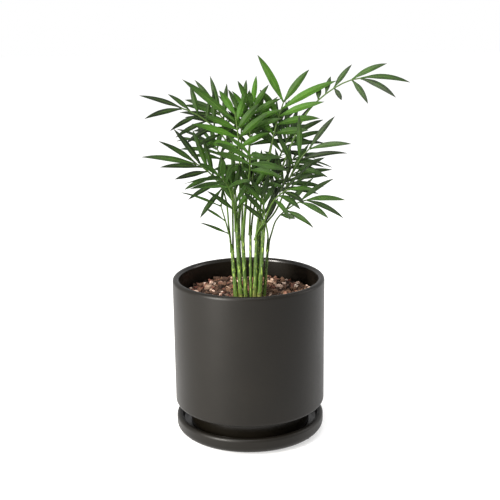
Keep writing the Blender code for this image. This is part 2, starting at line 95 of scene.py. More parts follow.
class Value:
    """One output of a node.  Arithmetic on it adds Math nodes to its tree."""

    def __init__(self, recipe: "Recipe", socket: bpy.types.NodeSocket) -> None:
        """Wrap an output."""
        self.recipe = recipe
        self.socket = socket

    def output(self, name: str) -> "Value":
        """Another output of the same node."""
        return Value(self.recipe, self.recipe.find(self.socket.node.outputs, name))

    def math(self, operation: str, *others: "Value | float", clamp: bool = False) -> "Value":
        """A Math node with this value first, its result kept between 0 and 1 if it is clamped."""
        values = dict(enumerate((self, *others)))
        return self.recipe.node("ShaderNodeMath", {"operation": operation, "use_clamp": clamp}, values)

    def __add__(self, other: "Value | float") -> "Value":
        """This value plus another."""
        return self.math("ADD", other)

    def __mul__(self, other: "Value | float") -> "Value":
        """This value times another."""
        return self.math("MULTIPLY", other)

    def __sub__(self, other: "Value | float") -> "Value":
        """This value less another."""
        return self.math("SUBTRACT", other)

    def __rsub__(self, other: float) -> "Value":
        """A number less this value."""
        return self.math("MULTIPLY", -1.0).math("ADD", other)

    def __pow__(self, other: "Value | float") -> "Value":
        """This value to a power."""
        return self.math("POWER", other)

    def __abs__(self) -> "Value":
        """This value without its sign."""
        return self.math("ABSOLUTE")

    def sine(self) -> "Value":
        """The sine of this value."""
        return self.math("SINE")

    def clamped(self) -> "Value":
        """This value, kept between 0 and 1."""
        return self.math("ADD", 0.0, clamp=True)

    def between(self, start: float, end: float) -> "Value":
        """How far this value is on its way from start to end, from 0 to 1, eased."""
        return self.recipe.node("ShaderNodeMapRange", {"interpolation_type": "SMOOTHSTEP"},
                                {"Value": self, "From Min": start, "From Max": end})


class Recipe:
    """A node tree, and the one method that adds a node to it."""

    def __init__(self, tree: bpy.types.NodeTree) -> None:
        """Start with a tree."""
        self.tree = tree

    @staticmethod
    def find(sockets: Iterable[bpy.types.NodeSocket], key: int | str) -> bpy.types.NodeSocket:
        """The socket of a number, or the first one in use that has a name.

        Args:
            sockets: A node's inputs or outputs.
            key: The socket's number or name.

        Returns:
            The socket.
        """
        if isinstance(key, int):
            return sockets[key]
        return next(socket for socket in sockets if socket.name == key and socket.enabled)

    def node(self, kind: str, settings: Mapping[str, Any] | None = None,
             inputs: Mapping[int | str, Any] | None = None, output: int | str = 0) -> Value:
        """Add a node.

        Args:
            kind: The node's type.
            settings: Its own settings, set before its sockets; stops are a colour ramp's.
            inputs: A value or a link for each socket that isn't left as it is.
            output: The output that is wanted.

        Returns:
            That output.
        """
        made = self.tree.nodes.new(kind)
        for name, value in (settings or {}).items():
            if name == "stops":
                self.set_stops(made.color_ramp, value)
            else:
                setattr(made, name, value)
        for key, value in (inputs or {}).items():
            socket = self.find(made.inputs, key)
            if isinstance(value, Value):
                self.tree.links.new(value.socket, socket)
            elif socket.type == "RGBA" and len(value) == 3:
                socket.default_value = (*value, 1.0)
            else:
                socket.default_value = value
        return Value(self, self.find(made.outputs, output))

    @staticmethod
    def set_stops(ramp: bpy.types.ColorRamp, stops: Sequence[tuple[float, Colour]]) -> None:
        """Give a colour ramp its stops.

        Args:
            ramp: The ramp.
            stops: Each stop's place and colour, in order.
        """
        while len(ramp.elements) < len(stops):
            ramp.elements.new(1.0)
        for element, (place, colour) in zip(ramp.elements, stops):
            element.position = place
            element.color = (*colour, 1.0)


class Shader(Recipe):
    """A material's tree, with the few steps that every finish here is made of."""

    def __init__(self, name: str) -> None:
        """Start an empty material.

        Args:
            name: The material's name.
        """
        self.material = bpy.data.materials.new(name)
        self.material.use_nodes = True
        super().__init__(self.material.node_tree)
        self.tree.nodes.clear()
        self.place = self.node("ShaderNodeTexCoord", output="Object")

    def noise(self, scale: float, detail: float = 3.0, roughness: float = 0.55,
              place: Value | None = None) -> Value:
        """Soft noise from 0 to 1: its lumps to a metre, its finer layers and how strong they are."""
        return self.node("ShaderNodeTexNoise", {},
                         {"Vector": place or self.place, "Scale": scale, "Detail": detail,
                          "Roughness": roughness}, "Fac")

    def stretched(self, *scale: float) -> Value:
        """The piece's own coordinates, stretched along its axes."""
        return self.node("ShaderNodeMapping", {"vector_type": "POINT"},
                         {"Vector": self.place, "Scale": scale})

    def cells(self, scale: float) -> Value:
        """The distance from the middle of scattered cells, of which there are so many to a metre."""
        return self.node("ShaderNodeTexVoronoi", {}, {"Vector": self.place, "Scale": scale}, "Distance")

    def attribute(self, name: str) -> Value:
        """A value that the mesh itself carries."""
        return self.node("ShaderNodeAttribute", {"attribute_name": name}, output="Fac")

    def part_of(self, vector: Value, axis: str) -> Value:
        """One part of a vector."""
        return self.node("ShaderNodeSeparateXYZ", {}, {"Vector": vector}, axis)

    def mix(self, share: Value | float, first: Value | Colour, second: Value | Colour) -> Value:
        """Two colours mixed, with a share of the second one."""
        return self.node("ShaderNodeMix", {"data_type": "RGBA"},
                         {"Factor": share, "A": first, "B": second}, "Result")

    def chart(self) -> tuple[Value, Value]:
        """Where a point is on the mesh's UV map: across the shape, and along it."""
        place = self.node("ShaderNodeUVMap", {"uv_map": UV_MAP})
        return self.part_of(place, "X"), self.part_of(place, "Y")

    def ribs(self, across: Value, count: int) -> Value:
        """Round ribs that run along a shape, from 0 between them to 1 on them."""
        return (across * (math.tau * count)).sine() * 0.5 + 0.5

    def ramp(self, share: Value, *stops: tuple[float, Colour]) -> Value:
        """A colour read off a row of colours."""
        return self.node("ShaderNodeValToRGB", {"stops": stops}, {"Fac": share}, "Color")

    def bump(self, height: Value, depth: float, strength: float = 1.0, over: Value | None = None) -> Value:
        """Relief from a height.

        Args:
            height: The height, from 0 to 1.
            depth: How deep the relief is, in metres.
            strength: How much of it shows.
            over: Other relief that it lies on.

        Returns:
            The normal that it gives.
        """
        inputs = {"Height": height, "Distance": depth, "Strength": strength}
        if over:
            inputs["Normal"] = over
        return self.node("ShaderNodeBump", {}, inputs, "Normal")

    def finish(self, **inputs: Any) -> bpy.types.Material:
        """Close the material with a Principled shader.

        Args:
            inputs: Its sockets' values or links, with _ for a space in a name.

        Returns:
            The material.
        """
        named = {name.replace("_", " "): value for name, value in inputs.items()}
        shader = self.node("ShaderNodeBsdfPrincipled", {}, named)
        output = self.tree.nodes.new("ShaderNodeOutputMaterial")
        self.tree.links.new(shader.socket, output.inputs["Surface"])
        return self.material


class Growth(Recipe):
    """A Geometry Nodes tree with named inputs, which grows a new mesh over a base one."""

    SOCKETS = {int: "NodeSocketInt", float: "NodeSocketFloat", bpy.types.Material: "NodeSocketMaterial"}

    def __init__(self, name: str, inputs: Mapping[str, type]) -> None:
        """Start a tree.

        Args:
            name: The tree's name.
            inputs: The name and type of each of its inputs.
        """
        super().__init__(bpy.data.node_groups.new(name, "GeometryNodeTree"))
        sockets = self.tree.interface
        sockets.new_socket("Base", in_out="INPUT", socket_type="NodeSocketGeometry")
        for label, kind in inputs.items():
            sockets.new_socket(label, in_out="INPUT", socket_type=self.SOCKETS[kind])
        sockets.new_socket("Grown", in_out="OUTPUT", socket_type="NodeSocketGeometry")
        self.given = self.node("NodeGroupInput")

    def scattered(self, low: Value | float, high: Value | float, seed: Value | float) -> Value:
        """A number for each thing, at random between two others."""
        return self.node("FunctionNodeRandomValue", {"data_type": "FLOAT"},
                         {"Min": low, "Max": high, "Seed": seed}, "Value")

    def vector(self, x: Value | float, y: Value | float, z: Value | float) -> Value:
        """A vector from its parts."""
        return self.node("ShaderNodeCombineXYZ", {}, {"X": x, "Y": y, "Z": z})

    def close(self, grown: Value) -> None:
        """Realize what has grown and end the tree with it.

        Args:
            grown: The geometry.
        """
        real = self.node("GeometryNodeRealizeInstances", {}, {"Geometry": grown})
        dressed = self.node("GeometryNodeSetMaterial", {},
                            {"Geometry": real, "Material": self.given.output("Material")})
        end = self.tree.nodes.new("NodeGroupOutput")
        self.tree.links.new(dressed.socket, end.inputs["Grown"])

    def grow(self, name: str, base: bpy.types.ID, **inputs: Any) -> bpy.types.Mesh:
        """Run the tree.

        Args:
            name: The new mesh's name.
            base: The mesh or curve that it grows over.
            inputs: The tree's inputs, with _ for a space in a name.

        Returns:
            A plain mesh.
        """
        carrier = show(name, base)
        modifier = carrier.modifiers.new("growth", "NODES")
        modifier.node_group = self.tree
        named = {label.replace("_", " "): value for label, value in inputs.items()}
        for item in self.tree.interface.items_tree:
            if item.in_out == "INPUT" and item.name in named:
                modifier[item.identifier] = named[item.name]
        depsgraph = bpy.context.evaluated_depsgraph_get()
        grown = carrier.evaluated_get(depsgraph)
        mesh = bpy.data.meshes.new_from_object(grown, preserve_all_data_layers=True, depsgraph=depsgraph)
        carrier.modifiers.remove(modifier)
        bpy.data.objects.remove(carrier)
        mesh.name = name
        return mesh


# Mesh making


class Shell:
    """Collects the lofted shapes of one piece, then makes their mesh."""

    def __init__(self) -> None:
        """Start with nothing."""
        self.points: list[Vector] = []
        self.faces: list[list[int]] = []
        self.uvs: list[tuple[float, float]] = []
        self.finishes: list[int] = []
        self.marks: dict[str, list[float]] = {"shade": [], "upper": []}

    def loft(self, rows: Sequence[Sequence[Vector]], across: Sequence[float], along: Sequence[float],
             finish: int = 0, shade: float = 0.5, upper: Sequence[float] = ()) -> None:
        """Add a closed shape through rows of points, with its ends shut.

        Args:
            rows: The rows, each a ring of as many points.
            across: The U of each point of a ring, and of its first point once more.
            along: The V of each row.
            finish: The number of its finish.
            shade: Its light or dark, from 0 to 1.
            upper: For each point of a ring, 1 on the upper side and 0 on the lower.
        """
        count, start = len(rows[0]), len(self.points)
        upper = upper or [0.5] * count
        for row in rows:
            self.points.extend(row)
        faces, corners = [], []
        for row in range(len(rows) - 1):
            for side in range(count):
                a = start + row * count + side
                b = start + row * count + (side + 1) % count
                faces.append([a, b, b + count, a + count])
                corners.append([(across[side], along[row]), (across[side + 1], along[row]),
                                (across[side + 1], along[row + 1]), (across[side], along[row + 1])])
        for row, turn in ((0, -1), (len(rows) - 1, 1)):
            pole = len(self.points)
            self.points.append(sum(rows[row], Vector()) / count)
            first = start + row * count
            for side in range(count):
                ring = [first + side, first + (side + 1) % count, pole][::turn]
                faces.append(ring)
                corners.append([(across[side], along[row]), (across[side + 1], along[row]),
                                (across[side], along[row])][::turn])
        if self.volume(faces) < 0:
            faces = [face[::-1] for face in faces]
            corners = [corner[::-1] for corner in corners]
        self.faces.extend(faces)
        self.uvs.extend(pair for corner in corners for pair in corner)
        self.finishes.extend([finish] * len(faces))
        self.marks["shade"].extend([shade] * (len(self.points) - start))
        self.marks["upper"].extend([*upper] * len(rows) + [0.5, 0.5])

    def volume(self, faces: Sequence[Sequence[int]]) -> float:
        """Six times the volume that some faces hold, which is negative when they face inwards.

        Args:
            faces: The faces.

        Returns:
            The volume, times six.
        """
        total = 0.0
        for face in faces:
            a = self.points[face[0]]
            for second, third in zip(face[1:], face[2:]):
                total += a.dot(self.points[second].cross(self.points[third]))
        return total

    def mesh(self, name: str, finishes: Sequence[bpy.types.Material]) -> bpy.types.Mesh:
        """Make the mesh.

        Args:
            name: Its name.
            finishes: Its materials, in the order of their numbers.

        Returns:
            The mesh, shaded smooth.
        """
        mesh = bpy.data.meshes.new(name)
        mesh.from_pydata(self.points, [], self.faces)
        layer = mesh.uv_layers.new(name=UV_MAP)
        layer.data.foreach_set("uv", [part for pair in self.uvs for part in pair])
        for label, values in self.marks.items():
            mesh.attributes.new(label, "FLOAT", "POINT").data.foreach_set("value", values)
        for finish in finishes:
            mesh.materials.append(finish)
        mesh.polygons.foreach_set("material_index", self.finishes)
        mesh.shade_smooth()
        mesh.update()
        return mesh


def show(name: str, data: bpy.types.ID) -> bpy.types.Object:
    """Add an object to the scene.

    Args:
        name: Its name.
        data: Its mesh, curve, light or camera.

    Returns:
        The object.
    """
    shown = bpy.data.objects.new(name, data)
    bpy.context.scene.collection.objects.link(shown)
    return shown


def closed_mesh(name: str, work: bmesh.types.BMesh) -> bpy.types.Mesh:
    """Turn a work mesh into a plain one, shaded smooth, and let the work mesh go.

    Args:
        name: The mesh's name.
        work: The work mesh.

    Returns:
        The mesh.
    """
    mesh = bpy.data.meshes.new(name)
    work.to_mesh(mesh)
    work.free()
    mesh.shade_smooth()
    return mesh


def nodes_called(word: str) -> list[str]:
    """The CAD nodes whose names start with a word, in order."""
    return sorted(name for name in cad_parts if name.startswith(word))


def evenly(steps: int) -> list[float]:
    """Even shares from 0 to 1, both among them."""
    return [step / steps for step in range(steps + 1)]


def put(name: str, mesh: bpy.types.Mesh, slot: str, *nodes: str) -> None:
    """Put a finished piece in the scene.

    Args:
        name: Its name.
        mesh: Its mesh, already in its place.
        slot: A material slot's name; not used.
        nodes: The CAD nodes that it stands for.
    """
    piece = show(name, mesh)
    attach(piece, BODY)
    if nodes:
        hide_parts(*nodes)
    LOG.info("%s: %d faces", name, len(mesh.polygons))


def round_corner(centre: tuple[float, float], radius: float, start: float, end: float,
                 steps: int = 10) -> list[tuple[float, float]]:
    """Points of a round stretch of a turned outline, between angles in degrees from straight out."""
    angles = [math.radians(start + (end - start) * share) for share in evenly(steps)]
    return [(centre[0] + radius * math.cos(angle), centre[1] + radius * math.sin(angle))
            for angle in angles]


def smooth_path(points: Sequence[Vector], steps: int) -> list[Vector]:
    """A smooth curve through some points.

    Args:
        points: The points.
        steps: How many steps it takes between two of them.

    Returns:
        The curve's points, both ends among them.
    """
    ends = [2 * points[0] - points[1], *points, 2 * points[-1] - points[-2]]
    path = []
    for a, b, c, d in zip(ends, ends[1:], ends[2:], ends[3:]):
        for step in range(steps):
            t = step / steps
            path.append(0.5 * (2 * b + (c - a) * t + (2 * a - 5 * b + 4 * c - d) * t ** 2
                               + (3 * b - a - 3 * c + d) * t ** 3))
    return [*path, points[-1].copy()]


# The frame's own shapes


class NodeMesh:
    """A CAD node's mesh, with its loose triangles joined at their corners."""

    SAME_PLACE = 0.001 * MM     # corners that are closer than this are one point

    def __init__(self, node: str) -> None:
        """Read a node.

        Args:
            node: Its name.
        """
        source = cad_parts[node].data
        found: dict[tuple[int, ...], int] = {}
        self.points: list[Vector] = []
        self.links: list[set[int]] = []
        number = []
        for vertex in source.vertices:
            key = tuple(round(part / self.SAME_PLACE) for part in vertex.co)
            if key not in found:
                found[key] = len(self.points)
                self.points.append(vertex.co.copy())
                self.links.append(set())
            number.append(found[key])
        self.faces = [[number[corner] for corner in face.vertices] for face in source.polygons]
        for a, b, c in self.faces:
            self.links[a] |= {b, c}
            self.links[b] |= {a, c}
            self.links[c] |= {a, b}

    def next_ring(self, ring: Iterable[int], before: set[int]) -> list[int]:
        """The points joined to a ring that are neither in it nor among those before it."""
        joined = set().union(*(self.links[point] for point in ring))
        return sorted(joined - set(ring) - before)

    def centre(self, ring: Iterable[int]) -> Vector:
        """The middle of some points."""
        places = [self.points[point] for point in ring]
        return sum(places, Vector()) / len(places)


@dataclass
class LeafletGuide:
    """The line of one leaflet: where it starts, how it runs and sags, and which way its width lies."""
    foot: Vector
    run: Vector
    sag: Vector
    across: Vector
    width: float

    def place(self, share: float) -> Vector:
        """The middle of the leaflet at a share of its length."""
        return self.foot + self.run * share + self.sag * share ** 2

    def heading(self, share: float) -> Vector:
        """The way that the leaflet runs at a share of its length."""
        return (self.run + 2 * share * self.sag).normalized()

    @property
    def length(self) -> float:
        """Its length along its straight run."""
        return self.run.length


class FrondGuide:
    """The stalk and the leaflets of one frond, read off its CAD node.

    The node is one skin: a square stalk, with each leaflet drawn out of it as three sections of four
    points and a tip.
    """

    TIP_REACH = 1.05 * MM       # a tip is further than this from the section before it
    SECTION_EDGE = 0.8 * MM     # and that section is thinner than this
    SECTIONS = 3                # between a leaflet's tip and its foot
    ROUNDED = 0.74              # a round stalk's radius, as a share of a square one's half diagonal
    TOWARDS_LIGHT = Vector((0.0, -0.5, 1.0))

    def __init__(self, node: str) -> None:
        """Read a frond.

        Args:
            node: Its node's name.
        """
        self.skin = NodeMesh(node)
        grown = [self.walk_back(tip) for tip in range(len(self.skin.points)) if self.is_tip(tip)]
        leaf_points = {point for rows in grown for row in rows[:-1] for point in row}
        stalk = [point for point in range(len(self.skin.points)) if point not in leaf_points]
        rings = self.stalk_rings(stalk, leaf_points)
        self.stalk = [self.skin.centre(ring) for ring in rings]
        self.stalk_sizes = [self.ROUNDED * max((self.skin.points[point] - centre).length for point in ring)
                            for ring, centre in zip(rings, self.stalk)]
        ring_of = {point: number for number, ring in enumerate(rings) for point in ring}
        self.leaflets = [self.leaflet(rows, ring_of) for rows in grown]

    def is_tip(self, point: int) -> bool:
        """Whether a point is the tip of a leaflet.

        Args:
            point: The point.

        Returns:
            Whether it is.
        """
        links = sorted(self.skin.links[point])
        places = [self.skin.points[link] for link in links]
        if len(links) != 4 or min((p - self.skin.points[point]).length for p in places) < self.TIP_REACH:
            return False
        return min((a - b).length for i, a in enumerate(places) for b in places[i + 1:]) < self.SECTION_EDGE

    def walk_back(self, tip: int) -> list[list[int]]:
        """The rows of a leaflet from its tip back to its foot on the stalk.

        Args:
            tip: Its tip.

        Returns:
            The tip, its sections and the four points of its foot.
        """
        rows, before = [[tip]], {tip}
        for _ in range(self.SECTIONS + 1):
            rows.append(self.skin.next_ring(rows[-1], before))
            before |= set(rows[-1])
        return rows

    def stalk_rings(self, stalk: Sequence[int], leaf_points: set[int]) -> list[list[int]]:
        """The rings of a stalk from its foot up.

        Args:
            stalk: The stalk's points.
            leaf_points: The points that belong to leaflets.

        Returns:
            The rings.
        """
        rings = [sorted(stalk, key=lambda point: self.skin.points[point].z)[:4]]
        seen = set(leaf_points)
        while len(rings) * 4 < len(stalk):
            seen |= set(rings[-1])
            rings.append(self.skin.next_ring(rings[-1], seen))
        return rings

    def leaflet(self, rows: Sequence[Sequence[int]], ring_of: Mapping[int, int]) -> LeafletGuide:
        """The line of a leaflet.

        Args:
            rows: Its rows of points, from its tip to its foot.
            ring_of: The stalk ring that a point belongs to.

        Returns:
            Its guide.
        """
        tip, middle, foot = (self.skin.centre(row) for row in (rows[0], rows[2], rows[4]))
        sag = 2 * (tip - foot) - 4 * (middle - foot)
        run = tip - foot - sag
        corners = [self.skin.points[point] for point in rows[2]]
        partner = min(corners[1:], key=lambda corner: (corner - corners[0]).length)
        other = [corner for corner in corners[1:] if corner is not partner]
        across = (other[0] + other[1] - corners[0] - partner) / 2
        low, high = min(ring_of[p] for p in rows[4]), max(ring_of[p] for p in rows[4])
        if across.dot(self.stalk[high] - self.stalk[low]) < 0:
            across = -across
        return LeafletGuide(foot, run, sag, across.normalized(), across.length)

    def face(self, along: Vector, across: Vector) -> Vector:
        """The way that the upper side of a leaflet looks."""
        face = along.cross(across).normalized()
        return face if face.dot(self.TOWARDS_LIGHT) > 0 else -face


class StemGuide:
    """The line of one stem, read off its CAD node's level rings."""

    SAME_LEVEL = 0.01 * MM

    def __init__(self, node: str) -> None:
        """Read a stem.

        Args:
            node: Its node's name.
        """
        levels: dict[int, list[Vector]] = {}
        for point in NodeMesh(node).points:
            levels.setdefault(round(point.z / self.SAME_LEVEL), []).append(point)
        rings = [levels[level] for level in sorted(levels)]
        self.line = [sum(ring, Vector()) / len(ring) for ring in rings]
        self.radius = (rings[-1][0] - self.line[-1]).length
        self.collar = self.line[1]
        self.top = self.line[-1]

    def place(self, height: float) -> Vector:
        """The middle of the stem at a height.

        Args:
            height: The height, in metres above the frame's origin.

        Returns:
            The place.
        """
        for low, high in zip(self.line, self.line[1:]):
            if height <= high.z or high is self.line[-1]:
                return low.lerp(high, (height - low.z) / (high.z - low.z))
        return self.top


# Finishes


@dataclass(frozen=True)
class CeramicFinish:
    """Slip-cast ceramic under a black glaze that is matt, and glossier within a radius of the axis."""
    name: str
    colour: Colour = tone(10, 8, 5)
    roughness: float = 0.42
    glossy_within: float = 0.0

    def make(self) -> bpy.types.Material:
        """Make the material."""
        shader = Shader(self.name)
        x, y = shader.part_of(shader.place, "X"), shader.part_of(shader.place, "Y")
        inside = 1 - ((x * x + y * y) ** 0.5).between(self.glossy_within - 0.6 * MM, self.glossy_within)
        cloud = shader.noise(28.0, 4.0)
        fine = shader.noise(1500.0, 2.0)
        speck = 1 - shader.cells(1100.0).between(0.02, 0.16)
        pooled = shader.mix(cloud.between(0.3, 0.75), self.colour, tuple(c * 1.28 for c in self.colour))
        colour = shader.mix(speck * 0.22, pooled, tone(62, 57, 50))
        rough = (cloud - 0.5) * 0.10 + (fine - 0.5) * 0.08 + self.roughness - inside * 0.12
        relief = shader.bump(fine, 0.05 * MM, 0.30)
        relief = shader.bump(shader.noise(160.0, 2.0), 0.25 * MM, 0.12, relief)
        return shader.finish(Base_Color=colour, Roughness=rough.clamped(), Normal=relief,
                             Specular_IOR_Level=0.17, Coat_Weight=inside * 0.25, Coat_Roughness=0.22)


@dataclass(frozen=True)
class RubberFinish:
    """The soft pads under the saucer."""
    name: str = "pad_rubber"
    colour: Colour = tone(24, 22, 20)

    def make(self) -> bpy.types.Material:
        """Make the material."""
        shader = Shader(self.name)
        grain = shader.noise(2200.0, 3.0)
        colour = shader.mix(grain, self.colour, tuple(c * 1.5 for c in self.colour))
        return shader.finish(Base_Color=colour, Roughness=(grain * 0.2 + 0.7),
                             Normal=shader.bump(grain, 0.1 * MM, 0.5))


class Grain(Enum):
    """What a crumb of the potting mix is made of, by the row of colours that it comes in."""
    BARK = ((0.0, tone(34, 20, 12)), (0.35, tone(70, 48, 34)), (0.6, tone(98, 74, 56)),
            (0.8, tone(92, 46, 36)), (1.0, tone(130, 104, 84)))
    PUMICE = ((0.0, tone(118, 96, 80)), (0.4, tone(164, 138, 120)), (0.7, tone(186, 158, 142)),
              (1.0, tone(214, 198, 182)))
    CRUMB = ((0.0, tone(18, 10, 6)), (0.5, tone(44, 28, 19)), (0.8, tone(76, 54, 40)),
             (1.0, tone(122, 96, 76)))


@dataclass(frozen=True)
class GrainFinish:
    """Bark, pumice or crumbs, each grain in a colour of its own."""
    grain: Grain
    pitted: float = 0.5

    def make(self) -> bpy.types.Material:
        """Make the material."""
        shader = Shader(f"{self.grain.name.lower()}_grain")
        cloud = shader.noise(700.0, 4.0)
        pits = shader.cells(1800.0)
        share = shader.attribute("shade") * 0.75 + cloud * 0.5 - 0.12
        own = shader.ramp(share.clamped(), *self.grain.value)
        hollow = (1 - pits.between(0.05, 0.45)) * self.pitted
        colour = shader.mix(hollow, own, tone(40, 26, 18))
        relief = shader.bump(pits, 0.5 * MM, 0.5 * self.pitted)
        relief = shader.bump(cloud, 0.5 * MM, 0.8, relief)
        return shader.finish(Base_Color=colour, Roughness=(cloud * 0.2 + 0.72), Normal=relief,
                             Specular_IOR_Level=0.3)


@dataclass(frozen=True)
class SoilFinish:
    """The dark, damp mix between the crumbs."""
    name: str = "damp_soil"

    def make(self) -> bpy.types.Material:
        """Make the material."""
        shader = Shader(self.name)
        coarse, fine = shader.noise(260.0, 6.0, 0.7), shader.noise(1600.0, 3.0)
        colour = shader.ramp(coarse, (0.3, tone(12, 7, 4)), (0.55, tone(30, 18, 12)),
                             (0.75, tone(54, 36, 26)))
        relief = shader.bump(fine, 0.4 * MM, 0.7, shader.bump(coarse, 1.2 * MM, 0.9))
        return shader.finish(Base_Color=colour, Roughness=(fine * 0.15 + 0.82), Normal=relief,
                             Specular_IOR_Level=0.2)


@dataclass(frozen=True)
class LeafFinish:
    """A palm leaflet's blade: parallel veins, a pale midrib, a dull underside, an outer half darkened as
    painted shade, and a dry tip.
    """
    name: str = "leaflet_blade"
    veins: int = 11
    # Partly painted light: the dark green is for old fronds and for fronds in shade, and the light green is
    # for young fronds and for those that the light falls on.
    old_and_shaded: Colour = tone(5, 14, 1)
    young_and_lit: Colour = tone(44, 78, 9)

    def make(self) -> bpy.types.Material:
        """Make the material."""
        shader = Shader(self.name)
        across, along = shader.chart()
        cloud = shader.noise(110.0, 3.0)
        green = shader.mix((shader.attribute("shade") * 1.15 + (cloud - 0.5) * 0.5 - 0.02).clamped(),
                           self.old_and_shaded, self.young_and_lit)
        vein = shader.ribs(across, self.veins)
        green = shader.mix(vein * 0.12, green, tone(46, 70, 18))
        rib = 1 - abs(across - 0.5).between(0.012, 0.055)
        green = shader.mix(rib * (1 - along * 0.5) * 0.45, green, tone(70, 98, 32))
        dull = shader.mix(0.4, green, tone(30, 47, 20))
        green = shader.mix(shader.attribute("upper").between(0.35, 0.65), dull, green)
        # Painted shade: the outer half of each leaflet darkens towards its tip, less so on the lighter
        # leaflets.
        green = shader.mix(along.between(0.45, 1.0) * (1 - shader.attribute("shade") * 0.6) * 0.75,
                           green, tone(7, 17, 3))
        dry = along.between(0.93, 0.985) * (shader.noise(45.0, 1.0) * 2.2 - 0.5)
        colour = shader.mix(dry.clamped(), green, tone(34, 28, 12))
        streak = shader.noise(500.0, 3.0, 0.6)
        rough = (streak - 0.5) * 0.14 + 0.56 + (1 - shader.attribute("upper")) * 0.12
        relief = shader.bump(vein, 0.06 * MM, 0.5)
        relief = shader.bump(cloud, 0.3 * MM, 0.25, relief)
        return shader.finish(Base_Color=colour, Roughness=rough.clamped(), Normal=relief,
                             Specular_IOR_Level=0.16, Subsurface_Weight=0.10,
                             Subsurface_Radius=(0.4, 1.0, 0.1), Subsurface_Scale=0.5 * MM)


@dataclass(frozen=True)
class StalkFinish:
    """A frond's stalk: green, finely ribbed, darker towards its end."""
    name: str = "frond_stalk"
    ribs: int = 7

    def make(self) -> bpy.types.Material:
        """Make the material."""
        shader = Shader(self.name)
        across, along = shader.chart()
        rib = shader.ribs(across, self.ribs)
        cloud = shader.noise(130.0, 3.0)
        green = shader.mix((along * 0.7 + cloud * 0.3).clamped(), tone(44, 68, 14), tone(17, 31, 6))
        green = shader.mix(shader.attribute("shade") * 0.4, green, tone(50, 72, 18))
        colour = shader.mix(rib * 0.25, green, tone(96, 120, 50))
        return shader.finish(Base_Color=colour, Roughness=(cloud * 0.15 + 0.40),
                             Normal=shader.bump(rib, 0.08 * MM, 0.5), Specular_IOR_Level=0.2)


@dataclass(frozen=True)
class SheathFinish:
    """A stem in its leaf sheaths: brownish and dry at the soil, then green with pale streaks that are
    partly its own streaking and partly painted highlights.
    """
    name: str = "stem_sheath"
    ribs: int = 9

    def make(self) -> bpy.types.Material:
        """Make the material."""
        shader = Shader(self.name)
        across, along = shader.chart()
        rib = shader.ribs(across, self.ribs)
        streak = shader.noise(1.0, 4.0, 0.6, shader.stretched(800.0, 800.0, 15.0))
        green = shader.ramp((along * 0.8 + (streak - 0.5) * 0.6 + 0.1).clamped(),
                            (0.0, tone(56, 46, 16)), (0.14, tone(70, 80, 24)),
                            (0.32, tone(44, 66, 13)), (0.6, tone(26, 48, 7)),
                            (1.0, tone(22, 42, 6)))
        # Partly painted highlights: bright yellow-green streaks along the stem, which also stand for its
        # own pale streaking.
        green = shader.mix(streak.between(0.52, 0.66) * 0.8, green, tone(128, 150, 66))
        green = shader.mix(rib * 0.18, green, tone(112, 136, 58))
        papery = shader.mix((streak * 0.7 + 0.1).clamped(), tone(112, 100, 52), tone(60, 44, 22))
        worn = (shader.attribute("shade") + (streak - 0.5) * 0.9).between(0.5, 0.8)
        colour = shader.mix(worn * (1 - along * 0.7), green, papery)
        relief = shader.bump(streak, 0.12 * MM, 0.4, shader.bump(rib, 0.12 * MM, 0.6))
        return shader.finish(Base_Color=colour, Roughness=(streak * 0.2 + 0.40), Normal=relief,
                             Specular_IOR_Level=0.18)


# The holder


